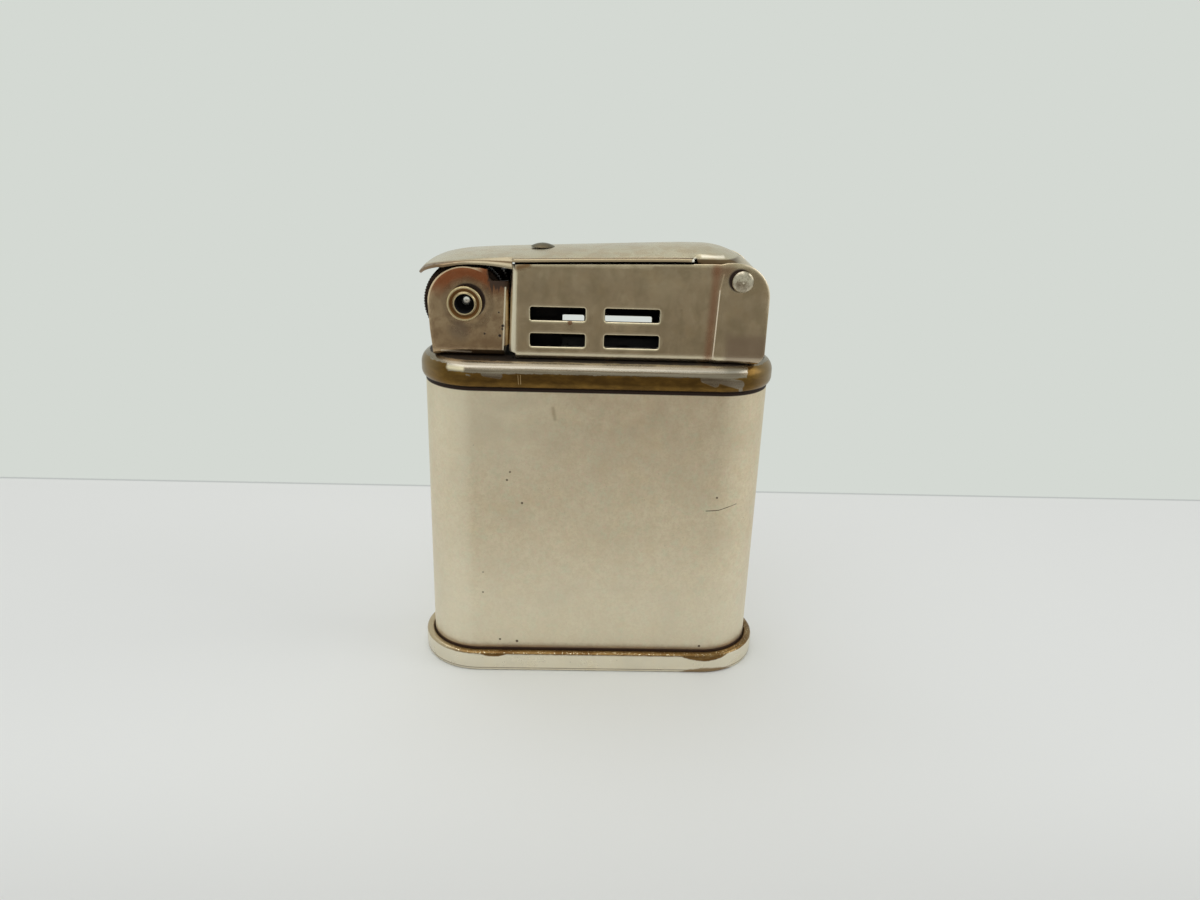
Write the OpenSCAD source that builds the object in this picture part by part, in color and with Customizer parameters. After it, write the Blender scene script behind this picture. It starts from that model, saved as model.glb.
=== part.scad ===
// Petrol pipe lighter: a flat round-ended tank of nickel-plated sheet brass, with a hinged lid
// that snuffs the wick, a windguard with slots, and a spark wheel on a hollow rivet.
// X runs to the right towards the lid hinge, the front faces -Y, and Z = 0 is the foot.

/* [Body] */
// Width of the body tube, end to end
body_w = 43; // [40:0.5:60]
// Depth of the body tube, front to back
body_d = 13.4; // [13:0.1:18]
// Sheet thickness of the body tube
body_wall = 0.45; // [0.3:0.05:0.7]
// Length of the body tube
body_len = 37.6; // [24:0.2:70]

/* [Base tray] */
// Width of the tray's rim beyond the body
rim_over = 1.15; // [0.8:0.05:2.5]
// Height of the tray's rim
rim_h = 2.76; // [2.5:0.02:5]
// Radius on the rim's edges
rim_round = 0.4; // [0.1:0.05:0.5]
// Height of the hollow under the tray's floor
foot_recess = 1.3; // [1.2:0.05:2]
// Thickness of the tray's floor
base_floor = 0.7; // [0.5:0.05:1.2]

/* [Top collar] */
// How far the collar's bead stands out from the body
collar_over = 0.5; // [0.3:0.05:1]
// Height of the collar
collar_h = 3.6; // [3.4:0.1:6]
// Radius of the bead's shoulder
shoulder_r = 1.7; // [1:0.05:2]
// Radius of the bead's curl under the shoulder
curl_r = 1.2; // [0.8:0.05:1.3]
// Length of body tube inside the collar
collar_grip = 1.0; // [0.6:0.05:1.5]
// Thickness of the deck that the top works stand on
deck_t = 0.7; // [0.4:0.05:1]
// Width of solid metal inside the bead's shoulder
collar_wall = 0.4; // [0.2:0.05:0.8]

/* [Wheel bracket] */
// Distance of the wheel's axle outside the centre of the body's round end
wheel_out = 1.2; // [0:0.1:2]
// Height of the wheel's axle above the deck
axle_up = 6.4; // [6.2:0.1:9]
// Half the width over the bracket's cheeks
cheek_half = 4.6; // [4.4:0.1:5.2]
// Sheet thickness of the bracket
cheek_t = 0.45; // [0.3:0.05:0.6]
// Radius of the cheeks' round top
cheek_r = 4.45; // [4:0.05:5]
// Width of the cheeks' turned-in right edge
cheek_flange = 0.8; // [0.4:0.1:1.2]
// Distance of the bracket's rivets from the axle, along the body
bracket_rivet_out = 3; // [2.6:0.1:3.4]
// Width of the notch in the cheeks' top right corner
notch_in = 2.3; // [1:0.1:2.8]
// Height of the notch's lower edge above the axle
notch_up = 2.75; // [2:0.05:3]
// Outer radius of the hollow axle rivet
axle_r = 1.6; // [1.5:0.05:1.8]
// Radius of the hole through the axle rivet
axle_bore_r = 1.14; // [0.8:0.02:1.36]
// Radius of the narrower hole in the middle of the axle rivet
axle_core_r = 0.72; // [0.4:0.02:0.9]
// Radius of the axle rivet's rolled flange
axle_flange_r = 2.1; // [2:0.05:2.6]

/* [Spark wheel] */
// Radius over the file teeth of the steel wheel
wheel_r = 4.1; // [3.6:0.05:4.3]
// Half the width of the steel wheel
wheel_half = 1.8; // [1.4:0.05:2]
// Number of file teeth
wheel_teeth = 40; // [24:1:60]
// Radius over the knurl of the thumb discs
disc_r = 4.85; // [4.6:0.05:4.9]
// Thickness of each thumb disc
disc_t = 1.3; // [0.8:0.05:1.4]
// Number of knurls on a thumb disc
disc_knurls = 48; // [24:1:72]
// Depth of teeth and knurls
tooth_depth = 0.32; // [0.1:0.02:0.5]
// Radius of the hub beside each thumb disc
hub_r = 2.4; // [2:0.1:3]

/* [Windguard] */
// Half the width over the windguard's walls
guard_half = 5.7; // [5.5:0.05:6.2]
// Sheet thickness of the windguard
guard_t = 0.4; // [0.3:0.05:0.5]
// Height of the windguard's walls above the deck
guard_h = 11.6; // [11.2:0.1:14]
// Distance of the windguard's left edge right of the axle
guard_left = 5.4; // [5.3:0.1:6.5]
// Gap between the wheel bracket and the windguard
bracket_gap = 0.15; // [0.1:0.05:1.2]
// How far the walls' top falls towards the wheel and rises towards the ears
guard_tilt = 0.3; // [0.1:0.05:0.4]
// Distance of its right edge outside the centre of the body's round end
guard_right = 5.0; // [4:0.1:5.4]
// Radius of the windguard's bends
guard_bend = 0.8; // [0.6:0.05:1.4]
// Width of the turned-in left edges
guard_flange = 1.6; // [1:0.1:1.8]
// Width of the outer ears that hold the lid pin
ear_w = 5.9; // [5.4:0.1:8]
// Radius of the ears' round corner
ear_r = 4.1; // [3:0.1:4.5]
// How far the ears are set out from the walls
ear_step = 0.3; // [0.1:0.05:0.5]
// How far the ears rise above the walls
ear_rise = 0.5; // [0.4:0.05:0.8]
// Width of an air slot
slot_w = 6.45; // [3:0.05:7.5]
// Height of an air slot
slot_h = 1.5; // [0.8:0.05:2.2]
// Distance between slots along the wall
slot_pitch = 8.8; // [8:0.1:10]
// Distance between the slot rows
slot_rise = 3.15; // [2.6:0.05:3.6]
// Height of the lower slots' centre above the deck
slot_up = 2.44; // [2:0.02:3]
// Distance of the first slots' centre from the left edge
slot_in = 5.6; // [5.2:0.1:6]
// Distance of the first deck rivet from the left edge
guard_rivet_in = 13.8; // [12:0.1:15]
// Corner radius of the slots
slot_corner = 0.35; // [0.1:0.05:0.38]

/* [Lid] */
// How far the lid's cover reaches past each wall of the windguard
lid_over = 0.15; // [0.05:0.05:0.4]
// Sheet thickness of the lid
lid_t = 0.34; // [0.3:0.02:0.4]
// Distance of the ears' narrowest point left of the pin
ear_waist = 3; // [2.6:0.1:3.2]
// Height of the lid's crown above the windguard's walls
lid_up = 1.87; // [1.8:0.01:3]
// Fall of the cover from its crown to the burner's end
lid_fall = 1.0; // [0.4:0.05:1.1]
// Rise of the cover's crowned section at the wheel
crown_left = 0.35; // [0.1:0.05:0.4]
// Rise of the cover's crowned section at the hinge
crown_right = 1.1; // [0.4:0.05:1.2]
// Radius of the cover's bend over the hinge
tail_r = 9.15; // [8.6:0.05:9.4]
// Angle of that bend
tail_angle = 59; // [45:1:60]
// Radius of the lip's outline, seen from above
lip_r = 6.17; // [5.9:0.01:6.6]
// Play between the lid's ears and the windguard's walls
neck_play = 0.2; // [0.15:0.05:0.3]
// Distance of the lid's neck left of the pin
neck_reach = 5.4; // [5:0.1:6]
// Distance of the lid's crown left of the pin
crown_back = 4.28; // [4:0.02:4.6]
// Length of the cover's steeper end over the wheel
lip_run = 10.15; // [9.6:0.05:10.6]
// Width of the relief notch in front of the neck
notch_w = 0.8; // [0.4:0.05:1.2]
// Depth of the relief notch into the neck
notch_d = 0.25; // [0.1:0.05:0.4]
// Radius of the cam on the lid's ears
cam_r = 3.7; // [3.4:0.05:3.9]
// Radius of the lid pin
pin_r = 0.8; // [0.5:0.05:1]
// Radius of the lid pin's heads
pin_head_r = 1.28; // [1.1:0.02:1.6]
// Height of the lid pin's heads
pin_head_h = 0.7; // [0.3:0.05:1]
// Distance of the pin left of the windguard's right edge
pin_in = 3.37; // [3.2:0.05:4]
// Depth of the pin below the top of the windguard's walls
pin_down = 1.6; // [1.4:0.05:2]

/* [Lid spring] */
// Thickness of the leaf spring
leaf_t = 0.35; // [0.2:0.05:0.5]
// Bend radius of the leaf spring
leaf_bend = 1.6; // [1:0.1:2.2]
// Distance of the leaf's upright left of the pin
leaf_back = 4.4; // [4.2:0.1:5]
// Reach of the leaf's arm right of the pin
leaf_reach = 0.8; // [0.2:0.1:1.5]

/* [Burner] */
// Distance of the burner's centre from the windguard's left edge
burner_in = 3.6; // [3.5:0.1:4]
// Outer radius of the wick tube
burner_r = 2.5; // [2:0.05:2.55]
// Radius of the wick
wick_r = 1.95; // [1.2:0.05:2]
// Depth of the wick tube under the deck
burner_depth = 5; // [3:0.1:8]
// Height of the wick's lower end above the bottom of the wadding
wick_rise = 8; // [4:0.5:12]
// Wall of the wick tube
burner_wall = 0.4; // [0.3:0.05:0.5]
// Height of the wick tube above the deck
burner_h = 6.2; // [5:0.1:6.6]
// Length of wick above the tube
wick_show = 1.2; // [0.4:0.1:1.5]
// Space between the wick tube and the snuffer cap
snuffer_gap = 0.6; // [0.5:0.05:0.7]
// Wall of the snuffer cap
snuffer_wall = 0.3; // [0.2:0.05:0.35]
// Height of the snuffer cap's rim above the deck
snuffer_up = 4.8; // [4.6:0.1:5.4]
// Radius of the rivet head on the lid
lid_rivet_r = 1.45; // [1:0.05:2]
// Height of that head
lid_rivet_h = 0.4; // [0.2:0.05:0.6]

/* [Flint] */
// Radius of the flint
flint_r = 1.25; // [1:0.05:1.3]
// Length of the flint
flint_len = 5; // [3:0.1:8]
// Wall of the flint tube
flint_wall = 0.35; // [0.25:0.05:0.45]
// Height of the flint tube above the deck
flint_tube_up = 0.95; // [0.5:0.05:1.1]
// Length of the plunger
plunger_len = 2; // [1:0.1:4]
// Wire diameter of the flint spring
wire_d = 0.36; // [0.25:0.01:0.45]
// Number of curls in the flint spring
spring_curls = 26; // [12:1:34]
// Length of the flint screw's thread
flint_thread = 3.6; // [2:0.1:6]
// Radius of the flint screw's head
flint_head_r = 2.7; // [2:0.1:3.2]
// Height of the flint screw's head
flint_head_h = 0.8; // [0.5:0.05:0.9]

/* [Filler] */
// Distance of the filler right of the middle
filler_x = 8; // [2:0.5:13]
// Outer radius of the filler bush
bush_r = 2.9; // [2.6:0.1:3.4]
// Radius of the filler screw's thread
filler_r = 2; // [1.5:0.1:2.1]
// Length of the filler screw's thread above its head
filler_thread = 2.2; // [1.5:0.1:3]
// Height of the filler bush above the tray's floor
bush_up = 1.6; // [1:0.1:3]
// Radius of the filler screw's head
filler_head_r = 3; // [2.8:0.1:3.6]
// Height of the filler screw's head
filler_head_h = 0.65; // [0.4:0.05:0.7]
// Thickness of the filler's washer
washer_t = 0.35; // [0.2:0.05:0.4]

/* [Rivets] */
// Radius of the small rivets' shanks
rivet_r = 0.5; // [0.3:0.05:0.7]
// Radius of their heads
rivet_head_r = 0.95; // [0.8:0.05:1.2]
// Height of their heads
rivet_head_h = 0.35; // [0.2:0.05:0.4]

/* [Fits] */
// Clearance of a piece fixed in its hole
snug = 0.02; // [0.01:0.01:0.04]
// Clearance of a piece that turns or slides in its hole
running = 0.05; // [0.03:0.01:0.08]
// Air between pieces that pass or face each other closely
air = 0.1; // [0.06:0.01:0.15]

/* [Hidden] */
$fn = 64;

// Heights
body_r = body_d / 2;
half_run = body_w / 2 - body_r;
floor_z = foot_recess + base_floor;
body_top = floor_z + body_len;
collar_z = body_top - collar_grip;
deck_z = collar_z + collar_h;
axle_z = deck_z + axle_up;
guard_top = deck_z + guard_h;
guard_floor = deck_z + guard_t;
bracket_floor = deck_z + cheek_t;

// Places along the body
wheel_x = -(half_run + wheel_out);
guard_x0 = wheel_x + guard_left;
guard_x1 = half_run + guard_right;
pin_x = guard_x1 - pin_in;
pin_z = guard_top - pin_down;
ear_x = guard_x1 - ear_w;
ear_top = guard_top + ear_rise;
burner_x = guard_x0 + burner_in;
cheek_x1 = guard_x0 - bracket_gap;
collar_r = body_r + collar_over;

// The lid's crown line: a bend over the hinge, then bends of [length, angle] towards the lip
crown_x = pin_x - crown_back;
crown_z = guard_top + lid_up;
lid_half = guard_half + lid_over;
lid_neck = guard_half - guard_t - neck_play;
lid_run = crown_x - wheel_x - lip_run;
run_slope = asin(lid_fall / lid_run);
camber = 0.8;
lid_bends = [
    [4, run_slope - camber / 2], [lid_run, camber], [6, 2.6], [3, 8], [2, 16], [1.55, 24]
];
bend_steps = [2, 5, 3, 3, 4, 4];
tail_steps = 12;
strip_steps = 10;

function bend_point(start, bend, part) =
    let (r = bend[0] / (bend[1] * PI / 180), turned = start[2] + bend[1] * part)
    [
        start[0] - r * (sin(turned) - sin(start[2])),
        start[1] - r * (cos(start[2]) - cos(turned)),
        turned
    ];
function bend_start(i) =
    i == 0 ? [crown_x, crown_z, 0] : bend_point(bend_start(i - 1), lid_bends[i - 1], 1);
function tail_point(angle) =
    [crown_x + tail_r * sin(angle), crown_z - tail_r * (1 - cos(angle)), -angle];
lid_line = concat(
    [for (i = [tail_steps:-1:1]) tail_point(tail_angle * i / tail_steps)],
    [bend_start(0)],
    [
        for (i = [0:len(lid_bends) - 1], k = [1:bend_steps[i]])
            bend_point(bend_start(i), lid_bends[i], k / bend_steps[i])
    ]
);
lid_heights = [for (p = lid_line) if (p[0] <= crown_x) [p[0], p[1]]];
function lid_top_at(x) = lookup(x, lid_heights);
function crown_rise(x) =
    crown_left + (crown_right - crown_left) * min(1, max(0, (x - wheel_x) / (crown_x - wheel_x)));

// Colours of the finishes
satin_nickel = [0.72, 0.69, 0.6];
bright_nickel = [0.66, 0.61, 0.52];
worn_brass = [0.52, 0.42, 0.22];
dark_steel = [0.2, 0.18, 0.16];
bright_steel = [0.75, 0.75, 0.74];
cotton = [0.88, 0.85, 0.77];

module stadium(r) {
    square([2 * half_run, 2 * r], center = true);
    for (side = [-1, 1])
        translate([side * half_run, 0])
            circle(r = r);
}

// Sweeps a profile, drawn as distance out and height, round the body's plan
module run_round() {
    for (side = [-1, 1])
        translate([side * half_run, 0, 0])
            rotate([0, 0, -90 * side])
                rotate_extrude(angle = 180)
                    children();
    for (side = [0, 1])
        mirror([0, side, 0])
            translate([-half_run, 0, 0])
                rotate([90, 0, 90])
                    linear_extrude(2 * half_run)
                        children();
}

module soft_square(x0, x1, y0, y1, r) {
    translate([x0 + r, y0])
        square([x1 - x0 - 2 * r, y1 - y0]);
    translate([x0, y0 + r])
        square([x1 - x0, y1 - y0 - 2 * r]);
    for (x = [x0 + r, x1 - r], y = [y0 + r, y1 - r])
        translate([x, y])
            circle(r = r);
}

// Upright plates at the front and the back, drawn as X and height
module side_plates(inner, thick) {
    for (side = [0, 1])
        mirror([0, side, 0])
            translate([0, -inner, 0])
                rotate([90, 0, 0])
                    linear_extrude(thick)
                        children();
}

module cross_rod(x, z, r, length) {
    translate([x, 0, z])
        rotate([90, 0, 0])
            cylinder(r = r, h = length, center = true);
}

module dome(r, h) {
    ball = (r * r + h * h) / (2 * h);
    intersection() {
        translate([0, 0, h - ball])
            sphere(r = ball);
        cylinder(r = r, h = h);
    }
}

function toothed(r, depth, count) = [
    for (i = [0:count - 1], k = [0, 1])
        let (a = (i + 0.7 * k) * 360 / count, at = r - depth * k)
        [at * cos(a), at * sin(a)]
];

module base_tray() color(satin_nickel) {
    difference() {
        union() {
            run_round()
                soft_square(body_r + snug, body_r + rim_over, 0, rim_h, rim_round);
            translate([0, 0, foot_recess])
                linear_extrude(base_floor)
                    stadium(body_r + rim_over / 2);
        }
        translate([wheel_x, 0, 0])
            cylinder(r = flint_tube_r + snug, h = rim_h);
        translate([filler_x, 0, 0])
            cylinder(r = bush_r + snug, h = rim_h);
    }
}

module body_shell() color(satin_nickel) {
    translate([0, 0, floor_z])
        linear_extrude(body_len)
            difference() {
                stadium(body_r);
                stadium(body_r - body_wall);
            }
}

module quarter_disc(r) {
    intersection() {
        circle(r = r);
        square(r);
    }
}

module collar_profile() {
    inner = collar_r - shoulder_r - collar_wall;
    curl_z = collar_z + curl_r;
    shoulder_z = deck_z - shoulder_r;
    difference() {
        union() {
            translate([collar_r - shoulder_r, shoulder_z])
                quarter_disc(shoulder_r);
            translate([collar_r - curl_r, curl_z])
                mirror([0, 1])
                    quarter_disc(curl_r);
            translate([inner, curl_z])
                square([collar_r - inner, shoulder_z - curl_z]);
            translate([inner, shoulder_z])
                square([collar_r - shoulder_r - inner, shoulder_r]);
        }
        translate([0, collar_z - 1])
            square([body_r + snug, body_top - collar_z + 1]);
    }
}

module top_collar() color(bright_nickel) {
    difference() {
        union() {
            run_round()
                collar_profile();
            translate([0, 0, deck_z - deck_t])
                linear_extrude(deck_t)
                    stadium(collar_r - shoulder_r);
        }
        translate([wheel_x, 0, deck_z - deck_t])
            cylinder(r = flint_tube_r + snug, h = 3 * deck_t, center = true);
        translate([burner_x, 0, deck_z - deck_t])
            cylinder(r = burner_r + snug, h = 3 * deck_t, center = true);
        for (x = concat(bracket_rivet_xs, guard_rivet_xs))
            translate([x, 0, deck_z - deck_t])
                cylinder(r = rivet_r + snug, h = 3 * deck_t, center = true);
    }
}

// Wheel bracket: one bent strip with two round-topped cheeks, a floor and turned-in right edges
bracket_left = wheel_x - cheek_r;
bracket_rivet_xs = [wheel_x - bracket_rivet_out, wheel_x + bracket_rivet_out];
notch_x = cheek_x1 - notch_in;
notch_z = axle_z + notch_up;

module cheek_outline() {
    difference() {
        union() {
            translate([wheel_x, axle_z])
                circle(r = cheek_r);
            polygon([
                [bracket_left, axle_z], [bracket_left + 0.5, deck_z], [cheek_x1, deck_z],
                [cheek_x1, axle_z + cheek_r], [wheel_x, axle_z + cheek_r]
            ]);
        }
        translate([notch_x, notch_z])
            square([cheek_r, cheek_r]);
    }
}

module wheel_bracket() color(bright_nickel) {
    bend = 0.8;
    difference() {
        intersection() {
            union() {
                side_plates(cheek_half - cheek_t, cheek_t)
                    cheek_outline();
                translate([bracket_left, -cheek_half, deck_z])
                    cube([cheek_x1 - bracket_left, 2 * cheek_half, cheek_t]);
                for (side = [0, 1])
                    mirror([0, side, 0])
                        translate([cheek_x1 - cheek_t, -cheek_half, deck_z])
                            cube([cheek_t, cheek_t + cheek_flange, notch_z - deck_z]);
            }
            translate([wheel_x, 0, deck_z])
                rotate([90, 0, 90])
                    linear_extrude(4 * cheek_r, center = true)
                        soft_square(-cheek_half, cheek_half, 0, 2 * axle_up, bend);
            translate([0, 0, deck_z])
                linear_extrude(2 * axle_up)
                    soft_square(bracket_left - bend, cheek_x1, -cheek_half, cheek_half, bend / 2);
        }
        cross_rod(wheel_x, axle_z, axle_r + snug, 4 * cheek_half);
        translate([wheel_x, 0, deck_z])
            cylinder(r = flint_tube_r + snug, h = 3 * cheek_t, center = true);
        for (x = bracket_rivet_xs)
            translate([x, 0, deck_z])
                cylinder(r = rivet_r + snug, h = 3 * cheek_t, center = true);
    }
}

// A small rivet standing on a sheet at seat and closed under the deck
module deck_rivet(x, seat) {
    under = deck_z - deck_t;
    translate([x, 0, seat])
        dome(rivet_head_r, rivet_head_h);
    translate([x, 0, under - rivet_head_h])
        cylinder(r = rivet_r, h = seat - under + 1.2 * rivet_head_h);
    translate([x, 0, under])
        mirror([0, 0, 1])
            dome(rivet_head_r, rivet_head_h);
}

module bracket_rivets() color(bright_nickel) {
    for (x = bracket_rivet_xs)
        deck_rivet(x, bracket_floor);
}

// The axle is a hollow rivet whose ends are rolled over the cheeks
module wheel_axle() color(bright_nickel) {
    roll = (axle_flange_r - axle_bore_r) / 2;
    translate([wheel_x, 0, axle_z])
        rotate([90, 0, 0])
            rotate_extrude() {
                translate([axle_bore_r, -cheek_half - roll / 2])
                    square([axle_r - axle_bore_r, 2 * cheek_half + roll]);
                translate([axle_core_r, -wheel_half])
                    square([axle_r - axle_core_r, 2 * wheel_half]);
                for (side = [0, 1])
                    mirror([0, side])
                        intersection() {
                            translate([axle_bore_r + roll, cheek_half])
                                circle(r = roll);
                            translate([0, cheek_half])
                                square([2 * axle_flange_r, roll]);
                        }
            }
}

module spark_wheel() color(dark_steel) {
    translate([wheel_x, 0, axle_z])
        rotate([90, 0, 0])
            difference() {
                linear_extrude(2 * wheel_half, center = true)
                    polygon(toothed(wheel_r, tooth_depth, wheel_teeth));
                cylinder(r = axle_r + running, h = 3 * wheel_half, center = true);
            }
}

// Knurled disc on the spark wheel's side, with a hub that keeps it off the cheek
module thumb_disc() {
    hub_end = cheek_half - cheek_t - air;
    translate([wheel_x, 0, axle_z])
        rotate([90, 0, 0])
            difference() {
                union() {
                    translate([0, 0, wheel_half])
                        linear_extrude(disc_t)
                            polygon(toothed(disc_r, tooth_depth, disc_knurls));
                    translate([0, 0, wheel_half])
                        cylinder(r = hub_r, h = hub_end - wheel_half);
                }
                cylinder(r = axle_r + running, h = 2 * cheek_half);
            }
}

module thumb_disc_front() color(dark_steel) {
    thumb_disc();
}

module thumb_disc_rear() color(dark_steel) {
    mirror([0, 1, 0])
        thumb_disc();
}

// Windguard: one sheet bent up into two slotted walls whose right ends step out into ears
guard_rivet_xs = [guard_x0 + guard_rivet_in, pin_x + 0.2];
step_x = ear_x + 2 * ear_step;

module guard_footprint() {
    soft_square(guard_x0, ear_x, -guard_half, guard_half, guard_bend / 2);
    polygon([
        [ear_x - guard_bend, -guard_half], [ear_x, -guard_half], [step_x, -guard_half - ear_step],
        [guard_x1, -guard_half - ear_step], [guard_x1, guard_half + ear_step],
        [step_x, guard_half + ear_step], [ear_x, guard_half], [ear_x - guard_bend, guard_half]
    ]);
}

module guard_plan() {
    inner = guard_half - guard_t;
    difference() {
        guard_footprint();
        translate([guard_x0 + guard_t, -inner])
            square([ear_x - guard_x0, 2 * inner]);
        polygon([
            [ear_x - 0.1, -inner], [ear_x + 0.1, -inner], [step_x + 0.1, -inner - ear_step],
            [guard_x1 + 1, -inner - ear_step], [guard_x1 + 1, inner + ear_step],
            [step_x + 0.1, inner + ear_step], [ear_x + 0.1, inner], [ear_x - 0.1, inner]
        ]);
        translate([guard_x0 - guard_bend, guard_flange - guard_half])
            square([2 * guard_bend + guard_t, 2 * (guard_half - guard_flange)]);
    }
}

module guard_outline() {
    difference() {
        polygon([
            [guard_x0, deck_z], [guard_x0, guard_top - guard_tilt], [ear_x, guard_top + guard_tilt],
            [step_x, ear_top], [guard_x1, ear_top], [guard_x1, deck_z]
        ]);
        translate([guard_x1 - ear_r, ear_top - ear_r])
            difference() {
                square([2 * ear_r, 2 * ear_r]);
                circle(r = ear_r);
            }
    }
}

module windguard() color(bright_nickel) {
    slot_x = guard_x0 + slot_in;
    slot_z = deck_z + slot_up;
    wide = guard_half + ear_step;
    difference() {
        intersection() {
            union() {
                translate([0, 0, deck_z])
                    linear_extrude(ear_top - deck_z)
                        guard_plan();
                translate([0, 0, deck_z])
                    linear_extrude(guard_t)
                        guard_footprint();
            }
            translate([guard_x0, 0, deck_z])
                rotate([90, 0, 90])
                    linear_extrude(guard_x1 - guard_x0)
                        soft_square(-wide, wide, 0, 2 * guard_h, guard_bend);
            rotate([90, 0, 0])
                linear_extrude(4 * wide, center = true)
                    guard_outline();
        }
        for (column = [0, 1], row = [0, 1])
            translate([slot_x + column * slot_pitch, 0, slot_z + row * slot_rise])
                rotate([90, 0, 0])
                    linear_extrude(4 * wide, center = true)
                        soft_square(-slot_w / 2, slot_w / 2, -slot_h / 2, slot_h / 2, slot_corner);
        cross_rod(pin_x, pin_z, pin_r + snug, 4 * wide);
        translate([burner_x, 0, deck_z])
            cylinder(r = burner_r + snug, h = 3 * guard_t, center = true);
        for (x = guard_rivet_xs)
            translate([x, 0, deck_z])
                cylinder(r = rivet_r + snug, h = 3 * guard_t, center = true);
    }
}

module windguard_rivets() color(bright_nickel) {
    deck_rivet(guard_rivet_xs[0], guard_floor);
    deck_rivet(guard_rivet_xs[1], guard_floor + leaf_t);
}

// Leaf spring bent to a C: its foot is riveted down and its arm presses on the lid's cams
module lid_spring() color(bright_steel) {
    leaf_x = pin_x - leaf_back;
    leaf_top = pin_z - cam_r - air;
    end_x = pin_x + leaf_reach;
    leaf_half = lid_neck;
    past = 3 * leaf_bend;
    difference() {
        rotate([90, 0, 0])
            linear_extrude(2 * leaf_half, center = true)
                difference() {
                    soft_square(leaf_x, end_x + past, guard_floor, leaf_top, leaf_bend);
                    soft_square(
                        leaf_x + leaf_t, end_x + 1.5 * past, guard_floor + leaf_t, leaf_top - leaf_t,
                        leaf_bend - leaf_t
                    );
                    translate([end_x, guard_floor - 1])
                        square([2 * past, leaf_top]);
                }
        translate([guard_rivet_xs[1], 0, guard_floor])
            cylinder(r = rivet_r + snug, h = 3 * leaf_t, center = true);
    }
}

module lid_pin() color(bright_steel) {
    reach = guard_half + ear_step;
    cross_rod(pin_x, pin_z, pin_r, 2 * reach);
    for (side = [0, 1])
        mirror([0, side, 0])
            translate([pin_x, -reach, pin_z])
                rotate([90, 0, 0])
                    dome(pin_head_r, pin_head_h);
}

// The lid's cover: crowned sections set square to the crown line and joined to one closed sheet
function section_point(p, across, depth) =
    let (down = depth + crown_rise(p[0]) * pow(across / lid_half, 2))
    [p[0] + down * sin(p[2]), across, p[1] - down * cos(p[2])];

module lid_cover() {
    columns = len(lid_line);
    rows = strip_steps + 1;
    points = [
        for (depth = [0, lid_t], p = lid_line, j = [0:strip_steps])
            section_point(p, lid_half * (2 * j / strip_steps - 1), depth)
    ];
    function at(layer, i, j) = (layer * columns + i) * rows + j;
    top = [
        for (i = [0:columns - 2], j = [0:strip_steps - 1], half = [0, 1])
            half == 0
                ? [at(0, i, j), at(0, i + 1, j), at(0, i + 1, j + 1)]
                : [at(0, i, j), at(0, i + 1, j + 1), at(0, i, j + 1)]
    ];
    under = [
        for (i = [0:columns - 2], j = [0:strip_steps - 1], half = [0, 1])
            half == 0
                ? [at(1, i, j), at(1, i + 1, j + 1), at(1, i + 1, j)]
                : [at(1, i, j), at(1, i, j + 1), at(1, i + 1, j + 1)]
    ];
    ends = [
        for (i = [0, columns - 1], j = [0:strip_steps - 1], half = [0, 1])
            let (
                a = at(0, i, j), b = at(0, i, j + 1), c = at(1, i, j + 1), d = at(1, i, j),
                face = half == 0 ? [a, b, c] : [a, c, d]
            )
            i == 0 ? face : [face[2], face[1], face[0]]
    ];
    sides = [
        for (i = [0:columns - 2], j = [0, strip_steps], half = [0, 1])
            let (
                a = at(0, i, j), b = at(0, i + 1, j), c = at(1, i + 1, j), d = at(1, i, j),
                face = half == 0 ? [a, c, b] : [a, d, c]
            )
            j == 0 ? face : [face[2], face[1], face[0]]
    ];
    polyhedron(points = points, faces = concat(top, under, ends, sides));
}

neck_x = pin_x - neck_reach;

module lid_ear_outline() {
    drop = crown_right * pow(lid_neck / lid_half, 2) + lid_t / 2;
    intersection() {
        translate([crown_x, crown_z - tail_r])
            circle(r = tail_r - drop);
        union() {
            translate([pin_x, pin_z])
                circle(r = cam_r);
            polygon([
                [neck_x, crown_z], [neck_x, guard_top + ear_rise], [pin_x - ear_waist, pin_z - pin_r],
                [pin_x, pin_z - pin_r], [pin_x, crown_z]
            ]);
        }
    }
}

module lid() color(bright_nickel) {
    cut_h = 4 * tail_r;
    difference() {
        union() {
            difference() {
                lid_cover();
                for (side = [0, 1])
                    mirror([0, side, 0]) {
                        translate([neck_x, lid_neck, pin_z - cut_h / 2])
                            cube([2 * tail_r, lid_half, cut_h]);
                        translate([neck_x - notch_w, lid_neck - notch_d, pin_z - cut_h / 2])
                            cube([notch_w, lid_half, cut_h]);
                    }
                translate([wheel_x, 0, axle_z])
                    linear_extrude(cut_h)
                        difference() {
                            translate([-2 * lip_r, -2 * lip_r])
                                square([2 * lip_r, 4 * lip_r]);
                            circle(r = lip_r);
                        }
            }
            side_plates(lid_neck - lid_t, lid_t)
                lid_ear_outline();
        }
        cross_rod(pin_x, pin_z, pin_r + running, 4 * lid_half);
        translate([burner_x, 0, axle_z])
            cylinder(r = rivet_r + snug, h = cut_h);
    }
}

// Snuffer: a deep cap under the lid, closed round the wick tube when the lid is shut
snuffer_r = burner_r + snuffer_gap + snuffer_wall;
snuffer_z = deck_z + snuffer_up;
snuffer_top = lid_top_at(burner_x - rivet_head_r) - lid_t - 0.3;

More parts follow.
